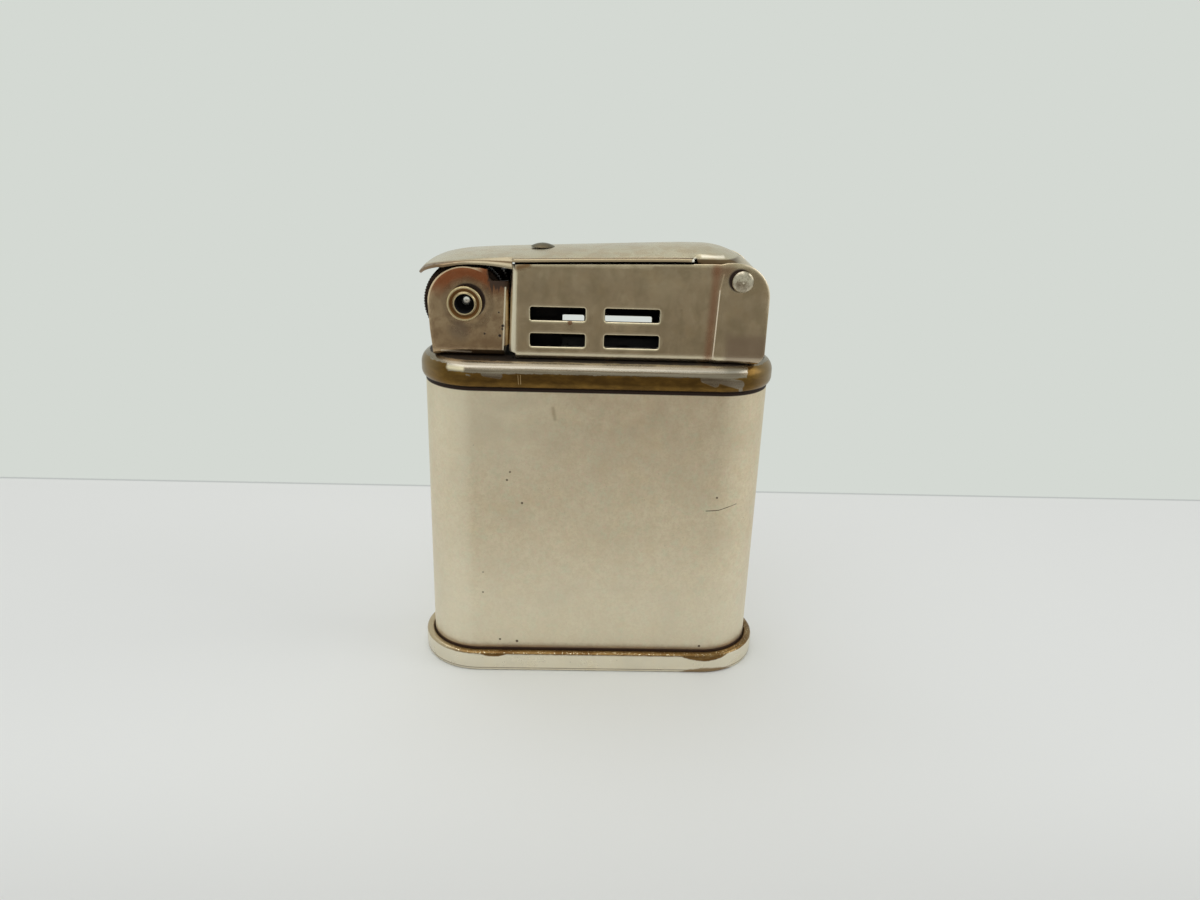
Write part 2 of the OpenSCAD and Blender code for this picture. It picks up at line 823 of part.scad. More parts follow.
module snuffer_cap() color(worn_brass) {
    translate([burner_x, 0, 0])
        rotate_extrude()
            difference() {
                union() {
                    translate([0, snuffer_z])
                        square([snuffer_r, snuffer_top - snuffer_z - 2 * snuffer_wall]);
                    translate([0, snuffer_z])
                        square([snuffer_r - 2 * snuffer_wall, snuffer_top - snuffer_z]);
                    translate([snuffer_r - 2 * snuffer_wall, snuffer_top - 2 * snuffer_wall])
                        circle(r = 2 * snuffer_wall);
                }
                translate([0, snuffer_z])
                    square([rivet_r + snug, 2 * (snuffer_top - snuffer_z)]);
                translate([0, snuffer_z])
                    square([snuffer_r - snuffer_wall, snuffer_top - snuffer_z - snuffer_wall]);
                translate([-2 * snuffer_r, snuffer_z])
                    square([2 * snuffer_r, snuffer_top]);
            }
}

module snuffer_rivet() color(worn_brass) {
    seat = lid_top_at(burner_x + lid_rivet_r);
    inside = snuffer_top - snuffer_wall;
    translate([burner_x, 0, 0]) {
        translate([0, 0, seat])
            dome(lid_rivet_r, lid_rivet_h);
        translate([0, 0, inside - rivet_head_h])
            cylinder(r = rivet_r, h = seat - inside + 1.2 * rivet_head_h);
        translate([0, 0, snuffer_top])
            cylinder(r = rivet_head_r, h = 0.2);
        translate([0, 0, inside])
            mirror([0, 0, 1])
                dome(rivet_head_r, rivet_head_h);
    }
}

// Burner: a tube soldered in the deck, with a flange on the windguard's floor
tank_z = floor_z + 2.2;
tank_top = deck_z - deck_t - 3;
wick_z = tank_z + wick_rise;

module wick_tube() color(worn_brass) {
    bottom = deck_z - burner_depth;
    top = deck_z + burner_h;
    translate([burner_x, 0, 0])
        difference() {
            union() {
                translate([0, 0, bottom])
                    cylinder(r = burner_r, h = top - bottom);
                translate([0, 0, guard_floor])
                    cylinder(r = burner_r + 0.7, h = 0.4);
            }
            translate([0, 0, bottom - 1])
                cylinder(r = burner_r - burner_wall, h = top - bottom + 2);
        }
}

module wick() color(cotton) {
    top = deck_z + burner_h + wick_show;
    translate([burner_x, 0, wick_z]) {
        cylinder(r = wick_r, h = top - wick_z - wick_r / 3);
        translate([0, 0, top - wick_z - wick_r / 3])
            dome(wick_r, wick_r / 3);
    }
}

module tank_wadding() color(cotton) {
    r = body_r - body_wall - 0.3;
    left = wheel_x + flint_tube_r + 0.5 + r;
    translate([0, 0, tank_z])
        difference() {
            linear_extrude(tank_top - tank_z) {
                translate([left, -r])
                    square([half_run - left, 2 * r]);
                for (x = [left, half_run])
                    translate([x, 0])
                        circle(r = r);
            }
            translate([burner_x, 0, wick_z - tank_z])
                cylinder(r = wick_r, h = tank_top);
            translate([burner_x, 0, deck_z - burner_depth - air - tank_z])
                cylinder(r = burner_r + 0.2, h = tank_top);
        }
}

// Flint works: tube, flint, plunger, spring and the screw that closes the tube below
flint_bore_r = flint_r + running;
flint_tube_r = flint_bore_r + flint_wall;
flint_top = axle_z - wheel_r - 0.08;
plunger_top = flint_top - flint_len;
plunger_z = plunger_top - plunger_len;
flint_screw_top = foot_recess + flint_thread;

module flint_tube() color(worn_brass) {
    top = deck_z + flint_tube_up;
    translate([wheel_x, 0, foot_recess])
        difference() {
            cylinder(r = flint_tube_r, h = top - foot_recess);
            translate([0, 0, -1])
                cylinder(r = flint_bore_r, h = top);
        }
}

module flint() color(dark_steel) {
    difference() {
        translate([wheel_x, 0, plunger_top])
            cylinder(r = flint_r, h = flint_len + 0.3);
        cross_rod(wheel_x, axle_z, wheel_r + 0.08, 4 * flint_r);
    }
}

module flint_plunger() color(worn_brass) {
    translate([wheel_x, 0, plunger_z]) {
        cylinder(r = flint_r, h = plunger_len);
        translate([0, 0, -1])
            cylinder(r = coil_r - wire_d, h = 1.5);
    }
}

// The spring is one tube of six sides along a helix, with flat ends
coil_r = flint_r - wire_d / 2 - 0.02;
curl_rings = 8;
wire_sides = 6;
spring_rings = spring_curls * curl_rings;
spring_low = flint_screw_top + wire_d / 2 + 0.01;
spring_high = plunger_z - wire_d / 2 - 0.01;
spring_pitch = (spring_high - spring_low) / spring_curls;
echo(spring_self_gap = spring_pitch * cos(atan(spring_pitch / (2 * PI * coil_r))) - wire_d);

function coil_point(i, k) =
    let (
        a = 360 * i / curl_rings, b = 360 * k / wire_sides,
        out = coil_r + wire_d / 2 * cos(b), lean = atan(spring_pitch / (2 * PI * coil_r)),
        up = wire_d / 2 * sin(b)
    )
    [
        out * cos(a) + up * sin(lean) * sin(a),
        out * sin(a) - up * sin(lean) * cos(a),
        spring_low + (spring_high - spring_low) * i / spring_rings + up * cos(lean)
    ];

module flint_spring() color(bright_steel) {
    points = [
        for (i = [0:spring_rings], k = [0:wire_sides - 1]) coil_point(i, k)
    ];
    walls = [
        for (i = [0:spring_rings - 1], k = [0:wire_sides - 1], half = [0, 1])
            let (
                n = (k + 1) % wire_sides,
                a = i * wire_sides + k, b = i * wire_sides + n,
                c = (i + 1) * wire_sides + n, d = (i + 1) * wire_sides + k
            )
            half == 0 ? [a, b, c] : [a, c, d]
    ];
    last = spring_rings * wire_sides;
    caps = [
        [for (k = [wire_sides - 1:-1:0]) k],
        [for (k = [0:wire_sides - 1]) last + k]
    ];
    translate([wheel_x, 0, 0])
        polyhedron(points = points, faces = concat(walls, caps));
}

// A slotted screw with its head below seat and its thread above
module slotted_screw(x, seat, head_r, head_h, thread_r, thread) {
    slot = 0.7;
    translate([x, 0, seat])
        difference() {
            union() {
                translate([0, 0, -head_h])
                    cylinder(r = head_r, h = head_h);
                translate([0, 0, -head_h / 2])
                    cylinder(r = thread_r, h = thread + head_h / 2);
            }
            translate([-2 * head_r, -slot / 2, -1.5 * head_h])
                cube([4 * head_r, slot, head_h]);
        }
}

module flint_screw() color(worn_brass) {
    slotted_screw(
        wheel_x, foot_recess - air / 2, flint_head_r, flint_head_h, flint_r,
        flint_thread + air / 2
    );
}

module filler_bush() color(worn_brass) {
    translate([filler_x, 0, foot_recess])
        difference() {
            cylinder(r = bush_r, h = base_floor + bush_up);
            translate([0, 0, -1])
                cylinder(r = filler_r + running, h = base_floor + bush_up + 2);
        }
}

module filler_washer() color([0.35, 0.12, 0.08]) {
    translate([filler_x, 0, foot_recess - air / 2 - washer_t])
        difference() {
            cylinder(r = filler_head_r - 0.1, h = washer_t);
            translate([0, 0, -1])
                cylinder(r = filler_r + running, h = washer_t + 2);
        }
}

module filler_screw() color(worn_brass) {
    slotted_screw(
        filler_x, foot_recess - air - washer_t, filler_head_r, filler_head_h, filler_r,
        filler_thread + washer_t
    );
}

base_tray();
body_shell();
top_collar();
wheel_bracket();
bracket_rivets();
wheel_axle();
spark_wheel();
thumb_disc_front();
thumb_disc_rear();
windguard();
windguard_rivets();
lid_spring();
lid_pin();
lid();
snuffer_cap();
snuffer_rivet();
wick_tube();
wick();
tank_wadding();
flint_tube();
flint();
flint_plunger();
flint_spring();
flint_screw();
filler_bush();
filler_washer();
filler_screw();
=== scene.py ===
import math

import bmesh
import bpy
import numpy as np
from mathutils import Matrix, Vector, geometry


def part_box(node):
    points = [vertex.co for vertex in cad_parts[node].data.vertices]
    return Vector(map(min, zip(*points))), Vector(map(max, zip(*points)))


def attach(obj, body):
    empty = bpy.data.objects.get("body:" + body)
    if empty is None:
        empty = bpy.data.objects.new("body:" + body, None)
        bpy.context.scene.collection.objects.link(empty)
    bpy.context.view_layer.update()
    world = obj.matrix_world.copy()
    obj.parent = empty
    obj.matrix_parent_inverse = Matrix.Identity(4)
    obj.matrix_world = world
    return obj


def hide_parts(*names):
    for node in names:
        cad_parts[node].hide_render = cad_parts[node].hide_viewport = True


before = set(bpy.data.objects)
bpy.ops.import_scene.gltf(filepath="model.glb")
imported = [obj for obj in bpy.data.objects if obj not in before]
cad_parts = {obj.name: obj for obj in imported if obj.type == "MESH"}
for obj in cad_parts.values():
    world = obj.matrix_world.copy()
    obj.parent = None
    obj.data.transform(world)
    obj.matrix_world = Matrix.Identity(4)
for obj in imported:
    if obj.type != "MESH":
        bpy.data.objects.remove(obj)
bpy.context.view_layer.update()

# Lengths are in millimetres. The lighter stands on z = 0 and its front looks towards -y.
MM = 0.001


def cad_mm(node):
    low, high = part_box(node)
    return np.array(low) / MM, np.array(high) / MM


# Sizes and places from the frame
body_low, body_high = cad_mm("body_shell")
tray_high = cad_mm("base_tray")[1]
collar_low, collar_high = cad_mm("top_collar")
guard_low, guard_high = cad_mm("windguard")
bracket_low, bracket_high = cad_mm("wheel_bracket")
axle_low, axle_high = cad_mm("wheel_axle")
pin_low, pin_high = cad_mm("lid_pin")
cap_low, cap_high = cad_mm("snuffer_cap")
tube_low = cad_mm("wick_tube")[0]
wick_high = cad_mm("wick")[1]

body_r = body_high[1]
half_run = body_high[0] - body_r
tray_r = min(tray_high[1], tray_high[0] - half_run)
collar_r = collar_high[1]
deck_z = collar_high[2]
wheel_x, _, axle_z = (axle_low + axle_high) / 2
pin_x, _, pin_z = (pin_low + pin_high) / 2
burner_x = (cap_low[0] + cap_high[0]) / 2

# Sheet sizes that the frame's boxes don't give
body_wall = 0.45
guard_t = 0.4
guard_half = 5.7
guard_tilt = 0.3
guard_lean = 0.2
guard_bend, side_bend = 0.8, 0.75
guard_top, ear_top = guard_high[2] - 0.5, guard_high[2]
ear_step = 0.3
ear_x = guard_high[0] - 5.9
ear_r = 4.1
slot_w, slot_h, slot_round = 6.45, 1.5, 0.22
slot_xs = (guard_low[0] + 5.6, guard_low[0] + 14.4)
slot_zs = (deck_z + 2.44, deck_z + 5.59)
cheek_t = 0.45
cheek_half = bracket_high[1]
cheek_r = 4.37
cheek_bend, flange_bend = 0.9, 0.65
notch_z = axle_z + 2.75
lid_t = 0.34
lid_half = 5.85
lid_neck, neck_bend = 5.1, 0.75
neck_x = pin_x - 5.4
lip_r = 6.17
tail_r = 9.15
tail_angle = math.radians(59)
crown_x, crown_z = pin_x - 4.28, guard_top + 1.87
crown_left, crown_right = 0.35, 1.1
grid_step = 0.4


def add_mesh(name, points, faces, smooth=True, inner_from=None):
    """A mesh object from points in millimetres, with its normals turned outwards.

    Faces from number inner_from on take the second material, of a sheet's inner side.
    """
    mesh = bpy.data.meshes.new(name)
    mesh.from_pydata([tuple(p * MM) for p in np.asarray(points, float)], [], faces)
    if inner_from is not None:
        for face in list(mesh.polygons)[inner_from:]:
            face.material_index = 1
    work = bmesh.new()
    work.from_mesh(mesh)
    bmesh.ops.remove_doubles(work, verts=work.verts, dist=1e-7)
    bmesh.ops.dissolve_degenerate(work, edges=work.edges, dist=1e-8)
    bmesh.ops.recalc_face_normals(work, faces=work.faces)
    for face in work.faces:
        face.smooth = smooth
    work.to_mesh(mesh)
    work.free()
    piece = bpy.data.objects.new(name, mesh)
    bpy.context.scene.collection.objects.link(piece)
    return piece


def even_normals(piece):
    modifier = piece.modifiers.new("even_normals", "WEIGHTED_NORMAL")
    modifier.keep_sharp = True
    modifier.weight = 60
    return piece


def smooth_step(t):
    t = np.clip(t, 0, 1)
    return t * t * (3 - 2 * t)


def arc(cx, cy, r, start, end, steps):
    """Points on an arc, angles in degrees, both ends included."""
    angles = np.radians(np.linspace(start, end, steps + 1))
    return [(cx + r * math.cos(a), cy + r * math.sin(a)) for a in angles]


def rounded_slot(cx, cy, w, h, r):
    left, right = cx - w / 2 + r, cx + w / 2 - r
    low, high = cy - h / 2 + r, cy + h / 2 - r
    corners = ((right, high), (left, high), (left, low), (right, low))
    return [p for i, (x, y) in enumerate(corners) for p in arc(x, y, r, 90 * i, 90 * i + 90, 5)]


def both_halves(half):
    """A closed outline from its upper half, the half's mirror image first."""
    return [(u, -v) for u, v in half] + [(u, v) for u, v in half[::-1] if v > 0]


def both_ends(half):
    """A closed profile of (radius, height) from its upper half."""
    return half + [(r, -h) for r, h in half[::-1] if h > 0]


def densify(loop):
    """The same closed loop with no side longer than the grid's step and no repeated point."""
    loop, points = np.array(loop, float), []
    for a, b in zip(loop, np.roll(loop, -1, axis=0)):
        length = np.linalg.norm(b - a)
        if length > 1e-6:
            parts = math.ceil(length / grid_step)
            points += [a + (b - a) * k / parts for k in range(parts)]
    return np.array(points)


def signed_area(loop):
    x, y = loop[:, 0], loop[:, 1]
    return 0.5 * float(np.sum(x * np.roll(y, -1) - np.roll(x, -1) * y))


def inset(loop, distance):
    """The loop moved to its left by a distance, with mitred corners."""
    ahead = np.roll(loop, -1, axis=0) - loop
    ahead /= np.linalg.norm(ahead, axis=1, keepdims=True)
    left = np.stack([-ahead[:, 1], ahead[:, 0]], axis=1)
    mitre = left + np.roll(left, 1, axis=0)
    scale = np.maximum(np.sum(mitre * mitre, axis=1, keepdims=True), 0.6)
    return loop + 2 * mitre / scale * distance


def inside(points, loop):
    x, y = points[:, 0], points[:, 1]
    result = np.zeros(len(points), bool)
    for (x0, y0), (x1, y1) in zip(loop, np.roll(loop, -1, axis=0)):
        if y0 != y1:
            crosses = (y0 > y) != (y1 > y)
            result ^= crosses & (x < (x1 - x0) * (y - y0) / (y1 - y0) + x0)
    return result


def on_blank(points, rings):
    """True inside the first ring and outside the others."""
    keep = inside(points, rings[0])
    for ring in rings[1:]:
        keep &= ~inside(points, ring)
    return keep


def clear_of(points, rings, gap):
    """True where a point is at least gap away from every ring's points."""
    keep = np.ones(len(points), bool)
    for p in np.concatenate(rings):
        keep &= np.sum((points - p) ** 2, axis=1) > gap * gap
    return keep


def blank_face(side, flat, rings, start):
    """Triangles over a blank's flat side: new grid points, numbered from start, and faces by point number."""
    low, high = rings[0].min(0), rings[0].max(0)
    xs = np.arange(low[0] + grid_step / 2, high[0], grid_step)
    ys = np.arange(low[1] + grid_step / 2, high[1], grid_step)
    grid = np.stack(np.meshgrid(xs, ys), axis=-1).reshape(-1, 2)
    grid = grid[on_blank(grid, rings) & clear_of(grid, rings, grid_step * 0.6)]
    ring_ids = [i for ring in side for i in ring]
    ids = ring_ids + list(range(start, start + len(grid)))
    places = [Vector(p) for p in np.concatenate([flat[ring_ids, :2], grid])]
    edges, offset = [], 0
    for ring in side:
        edges += [(offset + k, offset + (k + 1) % len(ring)) for k in range(len(ring))]
        offset += len(ring)
    verts, _, triangles, origins, _, _ = geometry.delaunay_2d_cdt(places, edges, [], 0, 1e-7)
    where = np.array([tuple(v) for v in verts])
    names = [ids[o[0]] if o else None for o in origins]
    corners = np.array([t for t in triangles if len(t) == 3])
    faces = [tuple(names[i] for i in t) for t in corners[on_blank(where[corners].mean(axis=1), rings)]]
    return grid, [face for face in faces if None not in face]


def ring_faces(rounds, count):
    """Faces between rings of count points each; the last ring meets the first."""
    faces = []
    for i in range(rounds):
        for k in range(count):
            n, j = (k + 1) % count, (i + 1) % rounds
            faces.append((i * count + k, j * count + k, j * count + n, i * count + n))
    return faces


def sheet(name, outline, holes, thick, rim, hole_rims, place):
    """A sheet-metal piece: a flat blank with rounded edges, put in its bent shape by place(u, v, depth)."""
    loops = []
    for wanted, loop in zip([1] + [-1] * len(holes), [outline] + holes):
        dense = densify(loop)
        loops.append(dense if signed_area(dense) * wanted > 0 else dense[::-1])
    turns = np.radians(np.arange(0, 91, 18))
    points, faces, front, back = [], [], [], []
    for loop, edge in zip(loops, [rim] + hole_rims):
        far = min(0.08, thick - edge - 0.02)
        levels = [(edge * (1 - math.sin(a)), edge * (1 - math.cos(a))) for a in turns]
        levels += [(far * (1 - math.sin(a)), thick - far * (1 - math.cos(a))) for a in turns[::-1]]
        count, start = len(loop), len(points)
        for distance, depth in levels:
            points += [(x, y, depth) for x, y in inset(loop, distance)]
        for face in ring_faces(len(levels), count)[:-count]:
            faces.append(tuple(start + i for i in face))
        front.append(list(range(start, start + count)))
        back.append(list(range(len(points) - count, len(points))))
    flat = np.array(points)
    for side, depth in ((front, 0.0), (back, thick)):
        inner_from = len(faces)
        grid, new_faces = blank_face(side, flat, [flat[ids, :2] for ids in side], len(points))
        points += [(x, y, depth) for x, y in grid]
        faces += new_faces
    flat = np.array(points)
    bent = place(flat[:, 0], flat[:, 1], flat[:, 2])
    return even_normals(add_mesh(name, np.stack(bent, axis=1), faces, inner_from=inner_from))


def swept_round(name, profile, end_steps=48, side_steps=24):
    """A closed profile of (distance out, height) swept round the body's plan."""
    route = []
    for side in (1, -1):
        for t in np.radians(np.linspace(-90, 90, end_steps + 1)):
            route.append((side * half_run, 0, side * math.cos(t), side * math.sin(t)))
        for k in range(1, side_steps):
            route.append((side * half_run * (1 - 2 * k / side_steps), 0, 0, side))
    points, count = [], len(profile)
    for x, y, nx, ny in route:
        points += [(x + nx * r, y + ny * r, z) for r, z in profile]
    faces = ring_faces(len(route), count)
    on_axis = [r == 0 for r, z in profile]
    faces = [f for f in faces if not (on_axis[f[0] % count] and on_axis[f[3] % count])]
    return even_normals(add_mesh(name, points, faces))


def lathe(name, profile, centre, steps):
    """A closed profile of (radius, distance to the front) turned about a front-to-back axis."""
    points = []
    for i in range(steps):
        a = 2 * math.pi * i / steps
        across, up = math.cos(a), math.sin(a)
        points += [(centre[0] + r * across, centre[1] - h, centre[2] + r * up) for r, h in profile]
    return even_normals(add_mesh(name, points, ring_faces(steps, len(profile))))


def wall_run(z, half, bend):
    """How far along a channel's blank, from the floor's middle, a height on the wall lies."""
    return (half - bend) + bend * math.pi / 2 + (z - deck_z - bend)


def in_channel(v, depth, half, bend, width):
    """Bends a blank to an upright U on the deck: v runs over the floor and up both walls."""
    run, flat = np.abs(v), half - bend
    angle = np.clip((run - flat) / bend, 0, math.pi / 2)
    y = np.minimum(run, flat) + (bend - depth) * np.sin(angle)
    past = np.maximum(run - flat - bend * math.pi / 2, 0)
    z = deck_z + bend - (bend - depth) * np.cos(angle) + past
    return np.sign(v) * y * (width / half), z


def edge_turn(u, v, depth, edge, bend, side, from_v):
    """Turns in a wall's strip past an upright edge: the new u and depth. side is -1 at a left edge."""
    past = side * (u - (edge - side * bend))
    angle = np.clip(past / bend, 0, math.pi / 2)
    turned = (past > 0) & (np.abs(v) > from_v)
    straight = np.maximum(past - bend * math.pi / 2, 0)
    new_u = edge - side * bend + side * (bend - depth) * np.sin(angle)
    new_depth = bend - (bend - depth) * np.cos(angle) + straight
    return np.where(turned, new_u, u), np.where(turned, new_depth, depth)


def make_body():
    low, high = body_low[2], body_high[2]
    inner = body_r - body_wall
    profile = [(body_r, z) for z in np.linspace(low, high, 30)]
    return swept_round("body_tube", profile + [(inner, high), (inner, low)])


def make_tray():
    high, lip, bead, foot, recess = tray_high[2], 0.46, 0.42, 0.3, 1.3
    inner, floor_top = body_r + 0.02, body_low[2]
    profile = [(0, floor_top), (inner, floor_top), (inner, high - 0.75)]
    profile += arc(inner + bead, high - bead, bead, 170, 90, 6)
    profile += arc(tray_r - lip, high - lip, lip, 90, 0, 8)
    profile += [(tray_r, 1.6), (tray_r - 0.03, 0.9)]
    profile += arc(tray_r - foot - 0.04, foot, foot, 0, -90, 6)
    profile += arc(inner + 0.55, 0.25, 0.25, -90, -180, 4)
    profile += [(inner + 0.3, recess), (0, recess)]
    return swept_round("tray", profile)


def make_collar():
    shoulder, curl = 1.7, 1.2
    deck_under, inner, seat = deck_z - 0.7, collar_r - 2.1, body_high[2]
    profile = [(0, deck_z), (collar_r - shoulder - 0.6, deck_z)]
    profile += arc(collar_r - shoulder, deck_z - shoulder, shoulder, 90, 0, 14)
    profile += [(collar_r, deck_z - shoulder - 0.25)]
    profile += arc(collar_r - curl, seat - 1 + curl, curl, 0, -50, 8)
    profile += [(body_r + 0.02, collar_low[2] + 0.25), (body_r + 0.02, seat), (inner, seat)]
    return swept_round("collar", profile + [(inner, deck_under), (0, deck_under)])


def make_windguard():
    left, right = guard_low[0], guard_high[0]
    edge = left + side_bend

    def run(z):
        return wall_run(z, guard_half, guard_bend)

    def place(u, v, depth):
        u, depth = edge_turn(u, v, depth, left, side_bend, -1, run(deck_z + guard_bend * 0.9))
        width = guard_half + ear_step * np.clip((u - ear_x + 0.75) / 0.9, 0, 1)
        y, z = in_channel(v, depth, guard_half, guard_bend, width)
        lean = guard_lean * (2 * (z - deck_z) / (guard_top - deck_z) - 1)
        return u + lean * smooth_step((left + 2.3 - u) / 1.6), y, z

    flange = edge - side_bend * math.pi / 2 - 1.1
    foot = run(deck_z + guard_bend * 1.05)
    low, high = guard_top - guard_tilt, guard_top + guard_tilt
    half = [(edge, 0.0), (edge, foot - 0.1), (left + side_bend * 0.6, foot), (flange, foot + 0.1)]
    half += [(flange, run(low - 0.9)), (flange + 0.35, run(low - 0.35))]
    half += [(left - 0.1, run(low - 0.05)), (edge, run(low)), (ear_x - 0.1, run(high))]
    half += [(ear_x + 2 * ear_step, run(ear_top) - 0.03), (ear_x + 4 * ear_step, run(ear_top))]
    half += arc(right - ear_r, run(ear_top - ear_r), ear_r, 90, 0, 20)
    # The ear's lower end draws in towards the deck: (in from the right, height)
    half += [(right - inward, run(deck_z + up)) for inward, up in ((0, 1.3), (0.25, 0.7), (0.6, 0.2))]
    half += [(right - 0.8, 0.0)]
    slots = [(x, way * run(z)) for x in slot_xs for z in slot_zs for way in (1, -1)]
    holes = [rounded_slot(x, v, slot_w, slot_h, slot_round) for x, v in slots]
    holes += [arc(pin_x, way * run(pin_z), 0.83, 0, 350, 35) for way in (1, -1)]
    holes += [arc(burner_x, 0, 2.55, 0, 354, 59)]
    rims = [0.22] * len(slots) + [0.06] * 3
    return sheet("guard_sheet", both_halves(half), holes, guard_t, 0.12, rims, place)


def make_bracket():
    left, right = bracket_low[0], bracket_high[0]

    def run(z):
        return wall_run(z, cheek_half, cheek_bend)

    def place(u, v, depth):
        u, depth = edge_turn(u, v, depth, right, flange_bend, 1, run(deck_z + cheek_bend * 0.9))
        return (u,) + in_channel(v, depth, cheek_half, cheek_bend, cheek_half)

    edge = right - flange_bend
    flange = edge + flange_bend * math.pi / 2 + 0.55
    top, notch = run(axle_z + cheek_r), run(notch_z)
    half = [(left + 0.5, 0.0), (left + 0.5, run(deck_z + 0.9)), (left + 0.25, run(deck_z + 3.2))]
    half += arc(wheel_x, run(axle_z), cheek_r, 180, 78, 26)
    half += [(wheel_x + 1.9, top - 0.12), (right - 2.5, top - 0.3)]
    half += [(right - 2.35, notch + 0.35), (right - 2.0, notch), (flange - 0.3, notch - 0.05)]
    half += [(flange, notch - 0.4), (flange, run(deck_z + 1.6)), (edge, run(deck_z + 1.3)), (edge, 0.0)]
    holes = [arc(wheel_x, way * run(axle_z), 1.62, 0, 350, 35) for way in (1, -1)]
    holes += [arc(wheel_x, 0, 1.7, 0, 350, 35)]
    return sheet("bracket_sheet", both_halves(half), holes, cheek_t, 0.1, [0.06] * 3, place)


# The lid's crown line: bends of (length, angle) from the hinge's crown towards the lip
lid_run = crown_x - wheel_x - 10.15
run_slope = math.degrees(math.asin(1.0 / lid_run))
lid_bends = [(4, run_slope - 0.4), (lid_run, 0.8), (6, 2.6), (3, 8), (2, 16), (1.55, 24)]
lip_end = sum(length for length, _ in lid_bends)


def crown_line(s):
    """Place and slope of the crown line: s runs from 0 over the hinge to the lip, below 0 on the tail."""
    tilt = np.maximum(-s, 0) / tail_r
    x, z = crown_x + tail_r * np.sin(tilt), crown_z - tail_r * (1 - np.cos(tilt))
    start, px, pz, turned = 0.0, crown_x, crown_z, 0.0
    for length, degrees in lid_bends:
        bend = math.radians(degrees)
        r = length / bend
        here = s >= start
        t = turned + bend * np.clip((s - start) / length, 0, 1)
        x = np.where(here, px - r * (np.sin(t) - math.sin(turned)), x)
        z = np.where(here, pz - r * (math.cos(turned) - np.cos(t)), z)
        tilt = np.where(here, -t, tilt)
        px -= r * (math.sin(turned + bend) - math.sin(turned))
        pz -= r * (math.cos(turned) - math.cos(turned + bend))
        turned += bend
        start += length
    return x, z, tilt


crown_table_s = np.linspace(0, lip_end, 400)
crown_table_x = crown_line(crown_table_s)[0]


def crown_u(x):
    """How far along the lid's blank a place on the crown line lies."""
    return -float(np.interp(-x, -crown_table_x, crown_table_s))


def make_lid():
    neck_from = crown_x - neck_x
    flat = lid_neck - neck_bend
    skirt = flat + neck_bend * math.pi / 2
    skirt_x = guard_low[0] + 0.24

    def neck_shape(across, rise, depth):
        """Where the narrow part over the hinge puts a point, whose sides turn down as a skirt."""
        angle = np.clip((across - flat) / neck_bend, 0, math.pi / 2)
        over = across > flat
        y = np.minimum(across, flat) + np.where(over, (neck_bend - depth) * np.sin(angle), 0)
        turned = rise * (flat / lid_half) ** 2 + neck_bend - (neck_bend - depth) * np.cos(angle)
        turned += np.maximum(across - flat - neck_bend * math.pi / 2, 0)
        return y, np.where(over, turned, rise * (across / lid_half) ** 2 + depth)

    def place(u, v, depth):
        x, z, tilt = crown_line(-u)
        share = np.clip((crown_x - x) / (crown_x - wheel_x), 0, 1)
        rise = crown_right + (crown_left - crown_right) * share
        across = np.abs(v)
        wide_down = rise * (across / lid_half) ** 2
        neck_y, neck_down = neck_shape(across, rise, depth)
        neck = smooth_step((neck_from + 0.05 + u) / 0.1)
        y = across + (neck_y - across) * neck
        hang = 0.1 + 0.7 * np.clip((x - wheel_x) / (skirt_x - wheel_x), 0, 1) ** 1.6
        hang *= smooth_step((skirt_x + 0.03 - x) / 0.03)
        hang *= smooth_step((across - lid_half + 0.6) / 0.6)
        down = (wide_down + depth + hang) + (neck_down - wide_down - depth) * neck
        return x - down * np.sin(tilt), np.sign(v) * y, z - down * np.cos(tilt)

    def ear_blank(x, z):
        """The blank's point for a point of the ear's plane."""
        out = np.array([x - crown_x, z - (crown_z - tail_r)])
        if x >= crown_x:
            u, down = tail_r * math.atan2(out[0], out[1]), tail_r - np.hypot(*out)
        else:
            u = x - crown_x
            down = float(crown_line(np.array([-u]))[1][0]) - z
        return u, skirt + down - crown_right * (flat / lid_half) ** 2 - neck_bend

    def ear_round(r, start, end, steps):
        return [ear_blank(x, z) for x, z in arc(pin_x, pin_z, r, start, end, steps)]

    lip = [(crown_u(x), y) for x, y in arc(wheel_x, 0, lip_r, 180, 90, 15) if 0.5 < y < lid_half]
    lip = [p for p in lip if p[0] > -lip_end + 0.12]
    half = [(-lip_end, 0.0), (-lip_end, max(lip[0][1] - 0.6, 0.4))] + lip
    half += [(crown_u(skirt_x + ahead), lid_half) for ahead in (-0.3, 0, 0.03, 0.4)]
    # Into the neck: (ahead of the neck's start, half width)
    into = [(0.4, lid_half), (0.34, lid_neck + 0.1), (0.2, lid_neck)]
    into += [(0.02, lid_neck + 0.1), (-0.12, skirt + 0.3)]
    half += [(-(neck_from + ahead), v) for ahead, v in into]
    half += [ear_blank(pin_x - 5.0, guard_top + 0.2)]
    half += [p for p in ear_round(3.7, -156, 20, 22) if p[1] > skirt - 0.55]
    tail_end = tail_r * tail_angle
    half += [(tail_end + 0.15, lid_neck - 0.7), (tail_end, lid_neck - 1.4), (tail_end, 0.0)]
    hole = ear_round(0.85, 0, 348, 29)
    holes = [hole, [(u, -v) for u, v in hole]]
    return sheet("lid_sheet", both_halves(half), holes, lid_t, 0.14, [0.05, 0.05], place)


